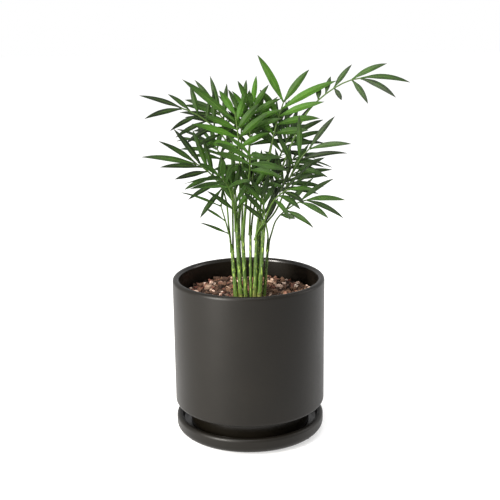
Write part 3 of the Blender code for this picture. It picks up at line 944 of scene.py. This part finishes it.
@dataclass
class Holder:
    """The turned ceramic pot and saucer, and the three pads that they stand on."""
    wall: float = 6.0 * MM
    foot_inset: float = 14.0 * MM
    foot_height: float = 20.0 * MM
    foot_edge: float = 1.5 * MM
    shoulder_edge: float = 3.0 * MM
    drain_radius: float = 6.0 * MM
    saucer_corner: float = 6.0 * MM
    saucer_cove: float = 3.0 * MM
    saucer_floor: float = 5.5 * MM
    pad_edge: float = 0.4 * MM
    foot_cove: float = 1.2 * MM
    hem: float = 0.5 * MM
    short_stretch: float = 1.6 * MM
    long_stretch: float = 9.0 * MM
    edge_hold: float = 0.35 * MM
    weld: float = 0.02 * MM
    steps: int = 168
    pad_steps: int = 36
    path_radius: float = 30.0 * MM
    tree: Growth | None = field(default=None, repr=False)

    def turning(self) -> Growth:
        """The tree that turns an outline round the upright axis."""
        tree = Growth("turned_shape", {"Steps": int, "Path Radius": float, "Material": bpy.types.Material})
        circle = tree.node("GeometryNodeCurvePrimitiveCircle", {},
                           {"Resolution": tree.given.output("Steps"),
                            "Radius": tree.given.output("Path Radius")})
        swept = tree.node("GeometryNodeCurveToMesh", {},
                          {"Curve": circle, "Profile Curve": tree.given.output("Base")})
        joined = tree.node("GeometryNodeMergeByDistance", {}, {"Geometry": swept, "Distance": self.weld})
        tree.close(tree.node("GeometryNodeSetShadeSmooth", {}, {"Geometry": joined}))
        return tree

    def evened(self, outline: Sequence[tuple[float, float]], closed: bool) -> list[tuple[float, float]]:
        """An outline whose long straight stretches have points of their own, close to each end.

        Args:
            outline: Its points, each a distance from the axis and a height.
            closed: Whether it goes on from its last point to its first.

        Returns:
            The points with the new ones among them.
        """
        points = []
        follows = [*outline[1:], outline[0]] if closed else outline[1:]
        for (x, z), (to_x, to_z) in zip(outline, follows):
            points.append((x, z))
            length = math.hypot(to_x - x, to_z - z)
            if length < self.short_stretch:
                continue
            hold, parts = self.edge_hold / length, max(2, round(length / self.long_stretch))
            shares = [hold, *evenly(parts)[1:-1], 1 - hold]
            points.extend((x + (to_x - x) * share, z + (to_z - z) * share) for share in shares)
        return points if closed else [*points, outline[-1]]

    def turned(self, name: str, outline: Sequence[tuple[float, float]], closed: bool,
               finish: bpy.types.Material, steps: int) -> bpy.types.Mesh:
        """Turn an outline round the upright axis.

        Args:
            name: The mesh's name.
            outline: The outline's points, each a distance from the axis and a height.
            closed: Whether it goes on from its last point to its first.
            finish: The material.
            steps: How many steps one turn takes.

        Returns:
            The mesh.
        """
        if self.tree is None:
            self.tree = self.turning()
        curve = bpy.data.curves.new(f"{name}_outline", "CURVE")
        curve.dimensions = "3D"
        spline = curve.splines.new("POLY")
        points = self.evened(outline, closed)
        spline.points.add(len(points) - 1)
        for point, (radius, height) in zip(spline.points, points):
            point.co = (radius - self.path_radius, -height, 0.0, 1.0)
        spline.use_cyclic_u = closed
        mesh = self.tree.grow(name, curve, Steps=steps, Path_Radius=self.path_radius, Material=finish)
        work = bmesh.new()
        work.from_mesh(mesh)
        bmesh.ops.recalc_face_normals(work, faces=work.faces)
        work.to_mesh(mesh)
        work.free()
        mesh.shade_smooth()
        return mesh

    def pot_outline(self) -> list[tuple[float, float]]:
        """The pot's outline: foot, shoulder, wall, lip, bore, hollow foot, floor and drain hole."""
        low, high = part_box("pot")
        outer, base, rim = high[0], low[2], high[2]
        foot, lip = outer - self.foot_inset, self.wall / 2
        shoulder, bore = base + self.foot_height, outer - self.wall
        ledge, well = shoulder + self.wall, foot - self.wall
        edge, cove, hem = self.shoulder_edge, self.foot_cove, self.hem
        return [*round_corner((foot - self.foot_edge, base + self.foot_edge), self.foot_edge, -90, 0, 6),
                *round_corner((foot + cove, shoulder - cove), cove, 180, 90, 5),
                *round_corner((outer - edge, shoulder + edge), edge, -90, 0, 8),
                *round_corner((outer - lip, rim - lip), lip, 0, 180, 18),
                *round_corner((bore - edge, ledge + edge), edge, 0, -90, 6),
                *round_corner((well + hem, ledge - hem), hem, 90, 180, 3),
                *round_corner((well - edge, base + self.wall + edge), edge, 0, -90, 6),
                *round_corner((self.drain_radius + hem, base + self.wall - hem), hem, 90, 180, 3),
                *round_corner((self.drain_radius + hem, base + hem), hem, 180, 270, 3)]

    def saucer_outline(self) -> list[tuple[float, float]]:
        """The saucer's outline, from the middle of its underside round to the middle of its floor."""
        low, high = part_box("saucer")
        outer, base, rim = high[0], low[2], high[2]
        lip, corner, cove = self.wall / 2, self.saucer_corner, self.saucer_cove
        floor = base + self.saucer_floor
        return [(0.0, base), *round_corner((outer - corner, base + corner), corner, -90, 0, 14),
                *round_corner((outer - lip, rim - lip), lip, 0, 180, 18),
                *round_corner((outer - self.wall - cove, floor + cove), cove, 0, -90, 8), (0.0, floor)]

    def pad_outline(self, radius: float, low: float, high: float) -> list[tuple[float, float]]:
        """A pad's outline, from the middle of its underside to the middle of its top."""
        edge = self.pad_edge
        return [(0.0, low), *round_corner((radius - edge, low + edge), edge, -90, 0, 4),
                *round_corner((radius - edge, high - edge), edge, 0, 90, 4), (0.0, high)]

    def build(self) -> None:
        """Build the pot, the saucer and the pads."""
        pot_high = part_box("pot")[1]
        pot_glaze = CeramicFinish("pot_glaze", glossy_within=pot_high[0] - self.wall + 1 * MM).make()
        saucer_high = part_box("saucer")[1]
        saucer_glaze = CeramicFinish("saucer_glaze", glossy_within=saucer_high[0] - self.wall).make()
        rubber = RubberFinish().make()
        put("ceramic_pot", self.turned("ceramic_pot", self.pot_outline(), True, pot_glaze, self.steps),
            "pot", "pot")
        put("ceramic_saucer", self.turned("ceramic_saucer", self.saucer_outline(), False, saucer_glaze,
                                          self.steps), "saucer", "saucer")
        for node in nodes_called("saucer_pad"):
            low, high = (Vector(corner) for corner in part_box(node))
            outline = self.pad_outline((high.x - low.x) / 2, low.z, high.z)
            name = node.replace("saucer_pad", "rubber_pad")
            mesh = self.turned(name, outline, False, rubber, self.pad_steps)
            middle = (low + high) / 2
            for vertex in mesh.vertices:
                vertex.co += Vector((middle.x, middle.y, 0.0))
            put(name, mesh, "pad", node)


# The filling


@dataclass(frozen=True)
class GrainSort:
    """One sort of loose grain on the bed: how many there are to a square metre, how big, how rough."""
    name: str
    finish: Grain
    density: float
    smallest: float
    largest: float
    width: float
    thickness: float
    lift: float
    rough: float
    chipped: bool
    seed: int


@dataclass
class Bed:
    """The potting mix: a damp, uneven surface with bark, pumice and crumbs loose on it."""
    crown: float = 2.0 * MM
    uneven: float = 0.9 * MM
    rings: int = 56
    sides: int = 168
    margin: float = 3.2 * MM
    skirt: float = 8.0 * MM
    ledge_height: float = 26.6 * MM
    well_inset: float = 20.3 * MM
    lump_scale: float = 120.0
    fine_lump_scale: float = 320.0
    chip_size: float = 0.86
    most_lean: float = 0.7
    ragged_scale: float = 380.0
    raggedness: float = 3.2 * MM
    stone_cuts: int = 3
    stone_roundness: float = 0.25
    stone_lumps: tuple[tuple[float, float], ...] = ((0.55 * MM, 260.0), (0.28 * MM, 700.0))
    stone_wear: float = 0.1 * MM
    sorts: tuple[GrainSort, ...] = (
        GrainSort("grit", Grain.CRUMB, density=260000.0, smallest=1.0 * MM, largest=1.9 * MM,
                  width=0.85, thickness=0.75, lift=0.1, rough=0.7, chipped=False, seed=31),
        GrainSort("crumbs", Grain.CRUMB, density=125000.0, smallest=1.9 * MM, largest=3.4 * MM,
                  width=0.8, thickness=0.6, lift=0.2, rough=1.0, chipped=True, seed=17),
        GrainSort("bark_chips", Grain.BARK, density=42000.0, smallest=3.4 * MM, largest=6.6 * MM,
                  width=0.66, thickness=0.42, lift=0.28, rough=1.5, chipped=True, seed=5),
        GrainSort("pumice_grains", Grain.PUMICE, density=15000.0, smallest=2.4 * MM, largest=4.6 * MM,
                  width=0.85, thickness=0.7, lift=0.36, rough=1.2, chipped=False, seed=23),
    )

    def __post_init__(self) -> None:
        """Read the space that the mix fills."""
        low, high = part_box("soil")
        self.floor, self.edge, self.radius = low[2], high[2] - self.crown, high[0]

    def height(self, x: float, y: float) -> float:
        """The height of the surface.

        Args:
            x: The place's X.
            y: The place's Y.

        Returns:
            The height.
        """
        share = min(math.hypot(x, y) / self.radius, 1.0)
        lumps = noise.noise(Vector((x, y, 0.0)) * self.lump_scale)
        lumps += 0.5 * noise.noise(Vector((x, y, 0.03)) * self.fine_lump_scale)
        return self.edge + self.crown * (1 - share ** 2) + self.uneven * (lumps - 0.35)

    def disc(self, name: str, radius: float, deep: bool) -> bpy.types.Mesh:
        """The surface as a disc, alone or as the top of the whole filling.

        Args:
            name: The mesh's name.
            radius: The disc's radius.
            deep: Whether it goes down to the pot's floor.

        Returns:
            The mesh.
        """
        work = bmesh.new()
        middle = work.verts.new((0.0, 0.0, self.height(0.0, 0.0)))
        before: list[bmesh.types.BMVert] = []
        levels = [(radius * share, None) for share in evenly(self.rings)[1:]]
        if deep:
            low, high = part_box("pot")
            well, ledge = high[0] - self.well_inset, low[2] + self.ledge_height
            levels += [(radius, self.edge - self.skirt), (radius, ledge), (well, ledge), (well, self.floor)]
        for reach, level in levels:
            ring = []
            for side in range(self.sides):
                angle = math.tau * side / self.sides
                x, y = reach * math.cos(angle), reach * math.sin(angle)
                ring.append(work.verts.new((x, y, self.height(x, y) if level is None else level)))
            for side in range(self.sides):
                after = (side + 1) % self.sides
                if before:
                    work.faces.new((before[side], ring[side], ring[after], before[after]))
                else:
                    work.faces.new((middle, ring[side], ring[after]))
            before = ring
        if deep:
            work.faces.new(before)
        bmesh.ops.recalc_face_normals(work, faces=work.faces)
        mesh = closed_mesh(name, work)
        if not deep and mesh.polygons[0].normal.z < 0:
            mesh.flip_normals()
        return mesh

    def scattering(self, chipped: bool) -> Growth:
        """The tree that scatters grains over a surface.

        Args:
            chipped: Whether the grains are flat, broken chips in place of rounded ones.

        Returns:
            The tree.
        """
        tree = Growth("chipped_grains" if chipped else "rounded_grains",
                      {"Density": float, "Seed": int, "Smallest": float, "Largest": float,
                       "Width": float, "Thickness": float, "Lift": float, "Rough": float,
                       "Material": bpy.types.Material})
        given, seed = tree.given.output, tree.given.output("Seed")
        points = tree.node("GeometryNodeDistributePointsOnFaces", {},
                           {"Mesh": given("Base"), "Density": given("Density"), "Seed": seed})
        if chipped:
            grain = tree.node("GeometryNodeMeshCube", {},
                              {"Size": (self.chip_size,) * 3, "Vertices X": 4, "Vertices Y": 3,
                               "Vertices Z": 3})
        else:
            grain = tree.node("GeometryNodeMeshIcoSphere", {}, {"Radius": 0.5, "Subdivisions": 2})
        share, lean = tree.scattered(0.0, 1.0, seed + 1.0), self.most_lean
        size = (given("Largest") - given("Smallest")) * share ** 1.6 + given("Smallest")
        turn = tree.node("FunctionNodeEulerToRotation", {},
                         {"Euler": tree.vector(tree.scattered(-lean, lean, seed + 2.0),
                                               tree.scattered(-lean, lean, seed + 3.0),
                                               tree.scattered(0.0, math.tau, seed + 4.0))})
        raised = tree.node("GeometryNodeSetPosition", {},
                           {"Geometry": points,
                            "Offset": tree.vector(0.0, 0.0, size * given("Lift")
                                                  * tree.scattered(-0.6, 1.6, seed + 5.0))})
        scale = tree.vector(size, size * given("Width") * tree.scattered(0.75, 1.25, seed + 6.0),
                            size * given("Thickness") * tree.scattered(0.7, 1.3, seed + 7.0))
        laid = tree.node("GeometryNodeInstanceOnPoints", {},
                         {"Points": raised, "Instance": grain, "Rotation": turn, "Scale": scale})
        toned = tree.node("GeometryNodeStoreNamedAttribute", {"data_type": "FLOAT", "domain": "INSTANCE"},
                          {"Geometry": laid, "Name": "shade",
                           "Value": tree.scattered(0.0, 1.0, seed + 8.0)})
        real = tree.node("GeometryNodeRealizeInstances", {}, {"Geometry": toned})
        place = tree.node("GeometryNodeInputPosition")
        lumps = tree.node("ShaderNodeTexNoise", {}, {"Vector": place, "Scale": self.ragged_scale,
                                                     "Detail": 2.0, "Roughness": 0.6}, "Color")
        middle = tree.node("ShaderNodeVectorMath", {"operation": "SUBTRACT"},
                           {0: lumps, 1: (0.5, 0.5, 0.5)})
        push = tree.node("ShaderNodeVectorMath", {"operation": "SCALE"},
                         {0: middle, "Scale": given("Rough") * self.raggedness})
        tree.close(tree.node("GeometryNodeSetPosition", {}, {"Geometry": real, "Offset": push}))
        return tree

    def stone(self, node: str, number: int, finishes: Sequence[bpy.types.Material]) -> bpy.types.Mesh:
        """One of the larger stones, broken and pitted.

        Args:
            node: Its CAD node.
            number: Its number.
            finishes: What it can be made of.

        Returns:
            The mesh.
        """
        coarse = NodeMesh(node)
        middle = coarse.centre(range(len(coarse.points)))
        work = bmesh.new()
        corners = [work.verts.new(point) for point in coarse.points]
        for face in coarse.faces:
            work.faces.new([corners[corner] for corner in face])
        bmesh.ops.subdivide_edges(work, edges=work.edges, cuts=self.stone_cuts, use_grid_fill=True,
                                  smooth=self.stone_roundness)
        bmesh.ops.recalc_face_normals(work, faces=work.faces)
        for vertex in work.verts:
            out = (vertex.co - middle).normalized()
            push = sum(depth * noise.noise(vertex.co * scale) for depth, scale in self.stone_lumps)
            vertex.co += out * (push - self.stone_wear)
        mesh = closed_mesh(node, work)
        shades = [(number * 0.37) % 1.0] * len(mesh.vertices)
        mesh.attributes.new("shade", "FLOAT", "POINT").data.foreach_set("value", shades)
        mesh.materials.append(finishes[number % len(finishes)])
        return mesh

    def build(self) -> None:
        """Build the soil, the loose grains and the stones."""
        soil = self.disc("potting_mix", self.radius, True)
        soil.materials.append(SoilFinish().make())
        put("potting_mix", soil, "soil", "soil")
        finishes = {grain: GrainFinish(grain).make() for grain in Grain}
        trees = {chipped: self.scattering(chipped) for chipped in (True, False)}
        for sort in self.sorts:
            ground = self.disc(f"{sort.name}_ground", self.radius - self.margin + sort.smallest / 4, False)
            mesh = trees[sort.chipped].grow(sort.name, ground, Density=sort.density, Seed=sort.seed,
                                            Smallest=sort.smallest, Largest=sort.largest,
                                            Width=sort.width, Thickness=sort.thickness, Lift=sort.lift,
                                            Rough=sort.rough, Material=finishes[sort.finish])
            put(sort.name, mesh, "soil")
        for number, node in enumerate(nodes_called("stone")):
            mesh = self.stone(node, number, [finishes[Grain.PUMICE], finishes[Grain.BARK]])
            put(f"gravel_{node}", mesh, "stone", node)


# The plant


def tube_rows(path: Sequence[Vector], radii: Sequence[float], sides: int) -> list[list[Vector]]:
    """The rings of a round tube along a path.

    Args:
        path: The path's points.
        radii: The tube's radius at each.
        sides: How many points a ring has.

    Returns:
        The rings.
    """
    rows, side = [], (path[1] - path[0]).orthogonal().normalized()
    for number, (place, radius) in enumerate(zip(path, radii)):
        ahead = (path[min(number + 1, len(path) - 1)] - path[max(number - 1, 0)]).normalized()
        side = (side - ahead * side.dot(ahead)).normalized()
        other = ahead.cross(side)
        angles = [math.tau * share for share in evenly(sides)[:-1]]
        rows.append([place + radius * (math.cos(angle) * side + math.sin(angle) * other)
                     for angle in angles])
    return rows


@dataclass
class Blade:
    """How a leaflet's blade is shaped, from its narrow foot to its long tip."""
    rows: int = 22
    foot_width: float = 1.5 * MM
    foot_thickness: float = 0.8 * MM
    thickness: float = 0.30 * MM
    widest_at: float = 0.42
    shoulder: float = 0.30
    taper: float = 2.5
    foot_twist: float = 0.55
    most_turn: float = 0.4
    most_curl: float = 0.035
    most_sway: float = 0.03
    swell: tuple[float, float] = (0.92, 1.12)
    fold: float = math.radians(15)
    pleat: float = 0.16 * MM
    wave: float = 0.22 * MM
    top: tuple[float, ...] = (-1.0, -0.93, -0.66, -0.33, 0.0, 0.33, 0.66, 0.93, 1.0)
    back: tuple[float, ...] = (0.93, 0.5, 0.0, -0.5, -0.93)

    def width(self, share: float, widest: float) -> float:
        """The blade's width.

        Args:
            share: The share of its length.
            widest: Its width where it is widest.

        Returns:
            The width there.
        """
        rise = self.shoulder + (1 - self.shoulder) * blend(0.0, self.widest_at, share)
        fall = 1 - max(0.0, (share - self.widest_at) / (1 - self.widest_at)) ** self.taper
        body = widest * rise * max(fall, 0.03)
        start = blend(0.0, 0.12, share)
        return self.foot_width * (1 - start) + body * start

    def add(self, shell: Shell, guide: LeafletGuide, upwards: float, shade: float,
            chance: random.Random) -> None:
        """Add one leaflet to a frond's shell.

        Args:
            shell: The shell.
            guide: The leaflet's line.
            upwards: 1 or -1, the side of its width and run that looks up.
            shade: Its light or dark, from 0 to 1.
            chance: The frond's own random numbers.
        """
        turn = chance.uniform(-self.most_turn, self.most_turn)
        curl = chance.uniform(0.0, self.most_curl) * guide.length
        phase = chance.uniform(0, math.tau)
        sideways = chance.uniform(-self.most_sway, self.most_sway) * guide.length
        swell = chance.uniform(*self.swell)
        rows, along = [], evenly(self.rows)
        for share in along:
            ahead = guide.heading(share)
            across = (guide.across - ahead * guide.across.dot(ahead)).normalized()
            face = ahead.cross(across) * upwards
            twist = self.foot_twist * (1 - blend(0.0, 0.22, share)) + turn * blend(0.3, 1.0, share)
            across, face = (across * math.cos(twist) + face * math.sin(twist),
                            face * math.cos(twist) - across * math.sin(twist))
            half = self.width(share, guide.width * swell) / 2
            thick = self.thickness + (self.foot_thickness - self.thickness) * (1 - blend(0.0, 0.15, share))
            thick *= 1 - 0.5 * blend(0.85, 1.0, share)
            middle = guide.place(share) - UP * curl * share ** 3 + across * sideways * share ** 2
            opened = blend(0.02, 0.2, share)
            row = []
            for number, place in enumerate((*self.top, *self.back)):
                low = number >= len(self.top)
                bend = math.sqrt(place ** 2 + 0.02) - 0.14
                rise = -bend * half * math.sin(self.fold) * opened
                rise += self.pleat * math.cos(math.tau * place) * opened * min(1.0, half / (2 * MM))
                rise += self.wave * place * abs(place) * math.sin(phase + 9 * share) * opened
                if low:
                    rise -= thick
                elif abs(place) == 1.0:
                    rise -= thick / 2
                row.append(middle + across * place * half * math.cos(self.fold * opened) + face * rise)
            rows.append(row)
        chart = [(place + 1) / 2 for place in (*self.top, *self.back, self.top[0])]
        upper = [1.0] * len(self.top) + [0.0] * len(self.back)
        shell.loft(rows, chart, along, 0, shade, upper)


@dataclass
class Fronds:
    """Every leaf of the palm: its stalk, and the leaflets along it."""
    sides: int = 10
    steps: int = 4
    sunk: float = 4.0 * MM
    end_reach: float = 1.2 * MM
    end_radius: float = 0.2 * MM
    foot_radius: float = 1.2 * MM
    stalk_share: float = 1.45
    # The lighter fronds are young growth and also the front and left fronds that the key light falls on, so
    # their lighter green is partly painted light.
    young_and_lit_range: tuple[float, float] = (0.5, 0.75)
    old_and_shaded_range: tuple[float, float] = (0.05, 0.4)
    blade: Blade = field(default_factory=Blade)
    young_and_lit: tuple[str, ...] = ("frond_top", "frond_left_tall", "frond_centre_front", "frond_top_middle",
                              "frond_left_front")

    def stalk(self, shell: Shell, guide: FrondGuide, shade: float) -> None:
        """Add a frond's stalk to its shell.

        Args:
            shell: The shell.
            guide: The frond's lines.
            shade: Its light or dark, from 0 to 1.
        """
        start = guide.stalk[0] - (guide.stalk[1] - guide.stalk[0]).normalized() * self.sunk
        end = guide.stalk[-1] + (guide.stalk[-1] - guide.stalk[-2]).normalized() * self.end_reach
        path = smooth_path([start, *guide.stalk, end], self.steps)
        sizes = [self.foot_radius, *(size * self.stalk_share for size in guide.stalk_sizes),
                 self.end_radius]
        radii = []
        for size, following in zip(sizes, sizes[1:]):
            radii.extend(size + (following - size) * share for share in evenly(self.steps)[:-1])
        radii.append(sizes[-1])
        rows = tube_rows(path, radii, self.sides)
        shell.loft(rows, evenly(self.sides), evenly(len(rows) - 1), 1, shade)

    def build(self) -> None:
        """Build every frond."""
        finishes = [LeafFinish().make(), StalkFinish().make()]
        for node in nodes_called("frond"):
            guide, chance, shell = FrondGuide(node), random.Random(node), Shell()
            age_and_light = chance.uniform(*(self.young_and_lit_range if node in self.young_and_lit else self.old_and_shaded_range))
            self.stalk(shell, guide, age_and_light)
            for leaflet in guide.leaflets:
                ahead = leaflet.heading(0.5)
                across = (leaflet.across - ahead * leaflet.across.dot(ahead)).normalized()
                upwards = 1.0 if guide.face(ahead, across).dot(ahead.cross(across)) > 0 else -1.0
                shade = min(max(age_and_light + chance.uniform(-0.2, 0.22), 0.0), 1.0)
                self.blade.add(shell, leaflet, upwards, shade, chance)
            put(node.replace("frond", "leaf"), shell.mesh(node, finishes), "leaf", node)
            LOG.info("%s has %d leaflets", node, len(guide.leaflets))


@dataclass(frozen=True)
class Sheath:
    """One sheath round a stem: a thin wrapping whose top is cut at a slant, more or less worn."""
    low: float
    high: float
    foot: float
    mouth: float
    slant: float
    turn: float
    worn: float


@dataclass
class Stems:
    """The seedlings' short stems, each wrapped in the sheaths of its leaves."""
    sides: int = 16
    core: float = 1.25 * MM
    girth: float = 1.95 * MM
    skin: float = 0.22 * MM
    full_radius: float = 1.8 * MM
    core_levels: int = 16
    levels: int = 12

    def core_tube(self, shell: Shell, guide: StemGuide) -> None:
        """Add a stem's core.

        Args:
            shell: The stem's shell.
            guide: Its line.
        """
        low, high = guide.line[0].z, guide.top.z + MM
        along = evenly(self.core_levels)
        path = [guide.place(low + (high - low) * share) for share in along]
        path[-1] = guide.top + UP * MM
        radii = [self.core * (1.35 - 0.4 * share) for share in along]
        radii[-1] *= 0.75
        shell.loft(tube_rows(path, radii, self.sides), evenly(self.sides), along, 0, 0.3)

    def wrap(self, shell: Shell, guide: StemGuide, sheath: Sheath) -> None:
        """Add one sheath, which ends in a thin lip that turns back inside.

        Args:
            shell: The stem's shell.
            guide: The stem's line.
            sheath: The sheath's sizes.
        """
        rows, along = [], []
        walls = [(share, 0.0) for share in evenly(self.levels)]
        walls += [(level / self.levels, self.skin) for level in range(self.levels, self.levels // 2, -2)]
        for share, inset in walls:
            row = []
            for angle in (math.tau * side for side in evenly(self.sides)[:-1]):
                top = sheath.high + sheath.slant * (0.5 + 0.5 * math.cos(angle - sheath.turn)) ** 2
                height = sheath.low + (top - sheath.low) * share
                risen = min((height - sheath.low) / (sheath.high - sheath.low), 1.0)
                radius = sheath.foot + (sheath.mouth - sheath.foot) * risen
                reach = radius * (1 + 0.08 * share ** 4) - inset + 0.06 * MM * math.sin(5 * angle)
                row.append(guide.place(height) + reach * Vector((math.cos(angle), math.sin(angle), 0)))
                row[-1].z = height
            rows.append(row)
            along.append(share if not inset else 1.0)
        shell.loft(rows, evenly(self.sides), along, 0, sheath.worn)

    def sheaths(self, guide: StemGuide, chance: random.Random) -> list[Sheath]:
        """A stem's three sheaths, from the oldest, short and dry, to the one that reaches its top.

        Args:
            guide: The stem's line.
            chance: The stem's own random numbers.

        Returns:
            The sheaths.
        """
        soil, top = guide.collar.z, guide.top.z
        tall, wide = top - soil, self.girth * min(guide.radius / self.full_radius, 1.0)
        dry = chance.uniform(0.45, 0.8)
        oldest = Sheath(low=soil - 3.0 * MM, high=soil + tall * chance.uniform(0.06, 0.16),
                        foot=wide + 0.35 * MM, mouth=wide + 0.25 * MM, slant=4.5 * MM,
                        turn=chance.uniform(0, math.tau), worn=dry)
        middle = Sheath(low=soil - 2.0 * MM, high=soil + tall * chance.uniform(0.40, 0.60),
                        foot=wide + 0.15 * MM, mouth=wide - 0.15 * MM, slant=6.0 * MM,
                        turn=chance.uniform(0, math.tau), worn=chance.uniform(0.15, 0.5))
        youngest = Sheath(low=soil, high=top - 3.0 * MM, foot=wide, mouth=0.82 * wide, slant=5.0 * MM,
                          turn=chance.uniform(0, math.tau), worn=chance.uniform(0.0, 0.45))
        return [oldest, middle, youngest]

    def build(self) -> None:
        """Build every stem."""
        finish = [SheathFinish().make()]
        for node in nodes_called("stem"):
            guide, chance, shell = StemGuide(node), random.Random(node), Shell()
            self.core_tube(shell, guide)
            for sheath in self.sheaths(guide, chance):
                self.wrap(shell, guide, sheath)
            put(node.replace("stem", "sheathed_stem"), shell.mesh(node, finish), "stem", node)


# The studio


@dataclass(frozen=True)
class SoftLight:
    """A soft light.  Its azimuth is counted from the front, positive to the right."""
    name: str
    azimuth: float
    height: float
    reach: float
    size: tuple[float, float]
    power: float
    colour: Colour = WHITE

    def hang(self, target: Vector) -> None:
        """Hang the light so that it looks at a place.

        Args:
            target: The place.
        """
        lamp = bpy.data.lights.new(self.name, "AREA")
        lamp.shape, lamp.size, lamp.size_y = "RECTANGLE", *self.size
        lamp.energy, lamp.color = self.power, self.colour
        across, up = math.radians(self.azimuth), math.radians(self.height)
        away = Vector((math.sin(across) * math.cos(up), -math.cos(across) * math.cos(up), math.sin(up)))
        piece = show(self.name, lamp)
        piece.location = target + away * self.reach
        piece.rotation_euler = away.to_track_quat("Z", "Y").to_euler()


@dataclass
class Studio:
    """The pale floor, the soft lights and the camera."""
    lens: float = 67.46
    sensor: float = 36.0
    tilt: float = math.radians(14.32)
    roll: float = math.radians(-0.63)
    place: Vector = field(default_factory=lambda: Vector((1.63, -831.84, 382.54)) * MM)
    target: Vector = field(default_factory=lambda: Vector((0.0, 0.0, 170.0)) * MM)
    floor_radius: float = 8.0
    lights: tuple[SoftLight, ...] = (
        SoftLight("key", azimuth=-46, height=18, reach=1.2, size=(0.20, 0.9), power=56.0,
                  colour=(1.0, 0.96, 0.90)),
        SoftLight("rim", azimuth=98, height=20, reach=1.2, size=(0.3, 0.8), power=4.0,
                  colour=(1.0, 0.95, 0.90)),
        SoftLight("top", azimuth=-20, height=72, reach=1.1, size=(0.5, 0.5), power=8.0),
    )

    def floor(self) -> None:
        """Lay the floor under the lowest point of the object."""
        work = bmesh.new()
        bmesh.ops.create_circle(work, cap_ends=True, segments=96, radius=self.floor_radius)
        mesh = closed_mesh("studio_floor", work)
        shader = Shader("pale_floor")
        cloud = shader.noise(3.0, 2.0)
        mesh.materials.append(shader.finish(
            Base_Color=shader.mix(cloud, (0.56, 0.56, 0.56), (0.58, 0.58, 0.58)), Roughness=0.8,
            Specular_IOR_Level=0.2, Emission_Color=WHITE, Emission_Strength=0.48))
        mesh.transform(Matrix.Translation((0.0, 0.0, CAD_BOX[0][2])))
        if mesh.polygons[0].normal.z < 0:
            mesh.flip_normals()
        show("studio_floor", mesh)

    def camera(self) -> None:
        """Set up the camera."""
        lens = bpy.data.cameras.new("view")
        lens.lens, lens.sensor_width = self.lens, self.sensor
        piece = show("view", lens)
        piece.location = self.place
        turned = Euler((math.pi / 2 - self.tilt, 0, 0)).to_matrix() @ Euler((0, 0, self.roll)).to_matrix()
        piece.rotation_euler = turned.to_euler()
        bpy.context.scene.camera = piece

    def sky(self) -> None:
        """Set up the even light that comes from all round."""
        world = bpy.data.worlds.new("studio")
        world.use_nodes = True
        world.node_tree.nodes.clear()
        glow = Recipe(world.node_tree).node("ShaderNodeBackground", {}, {"Color": WHITE, "Strength": 1.0})
        end = world.node_tree.nodes.new("ShaderNodeOutputWorld")
        world.node_tree.links.new(glow.socket, end.inputs["Surface"])
        bpy.context.scene.world = world

    def build(self) -> None:
        """Set up the studio."""
        bpy.context.scene.view_settings.view_transform = "Standard"
        self.camera()
        self.floor()
        self.sky()
        for light in self.lights:
            light.hang(self.target)


def main() -> None:
    """Build the potted palm and its studio."""
    logging.basicConfig(level=logging.INFO, format="%(name)s %(message)s")
    Studio().build()
    Holder().build()
    Bed().build()
    Stems().build()
    Fronds().build()


if __name__ == "__main__":
    main()
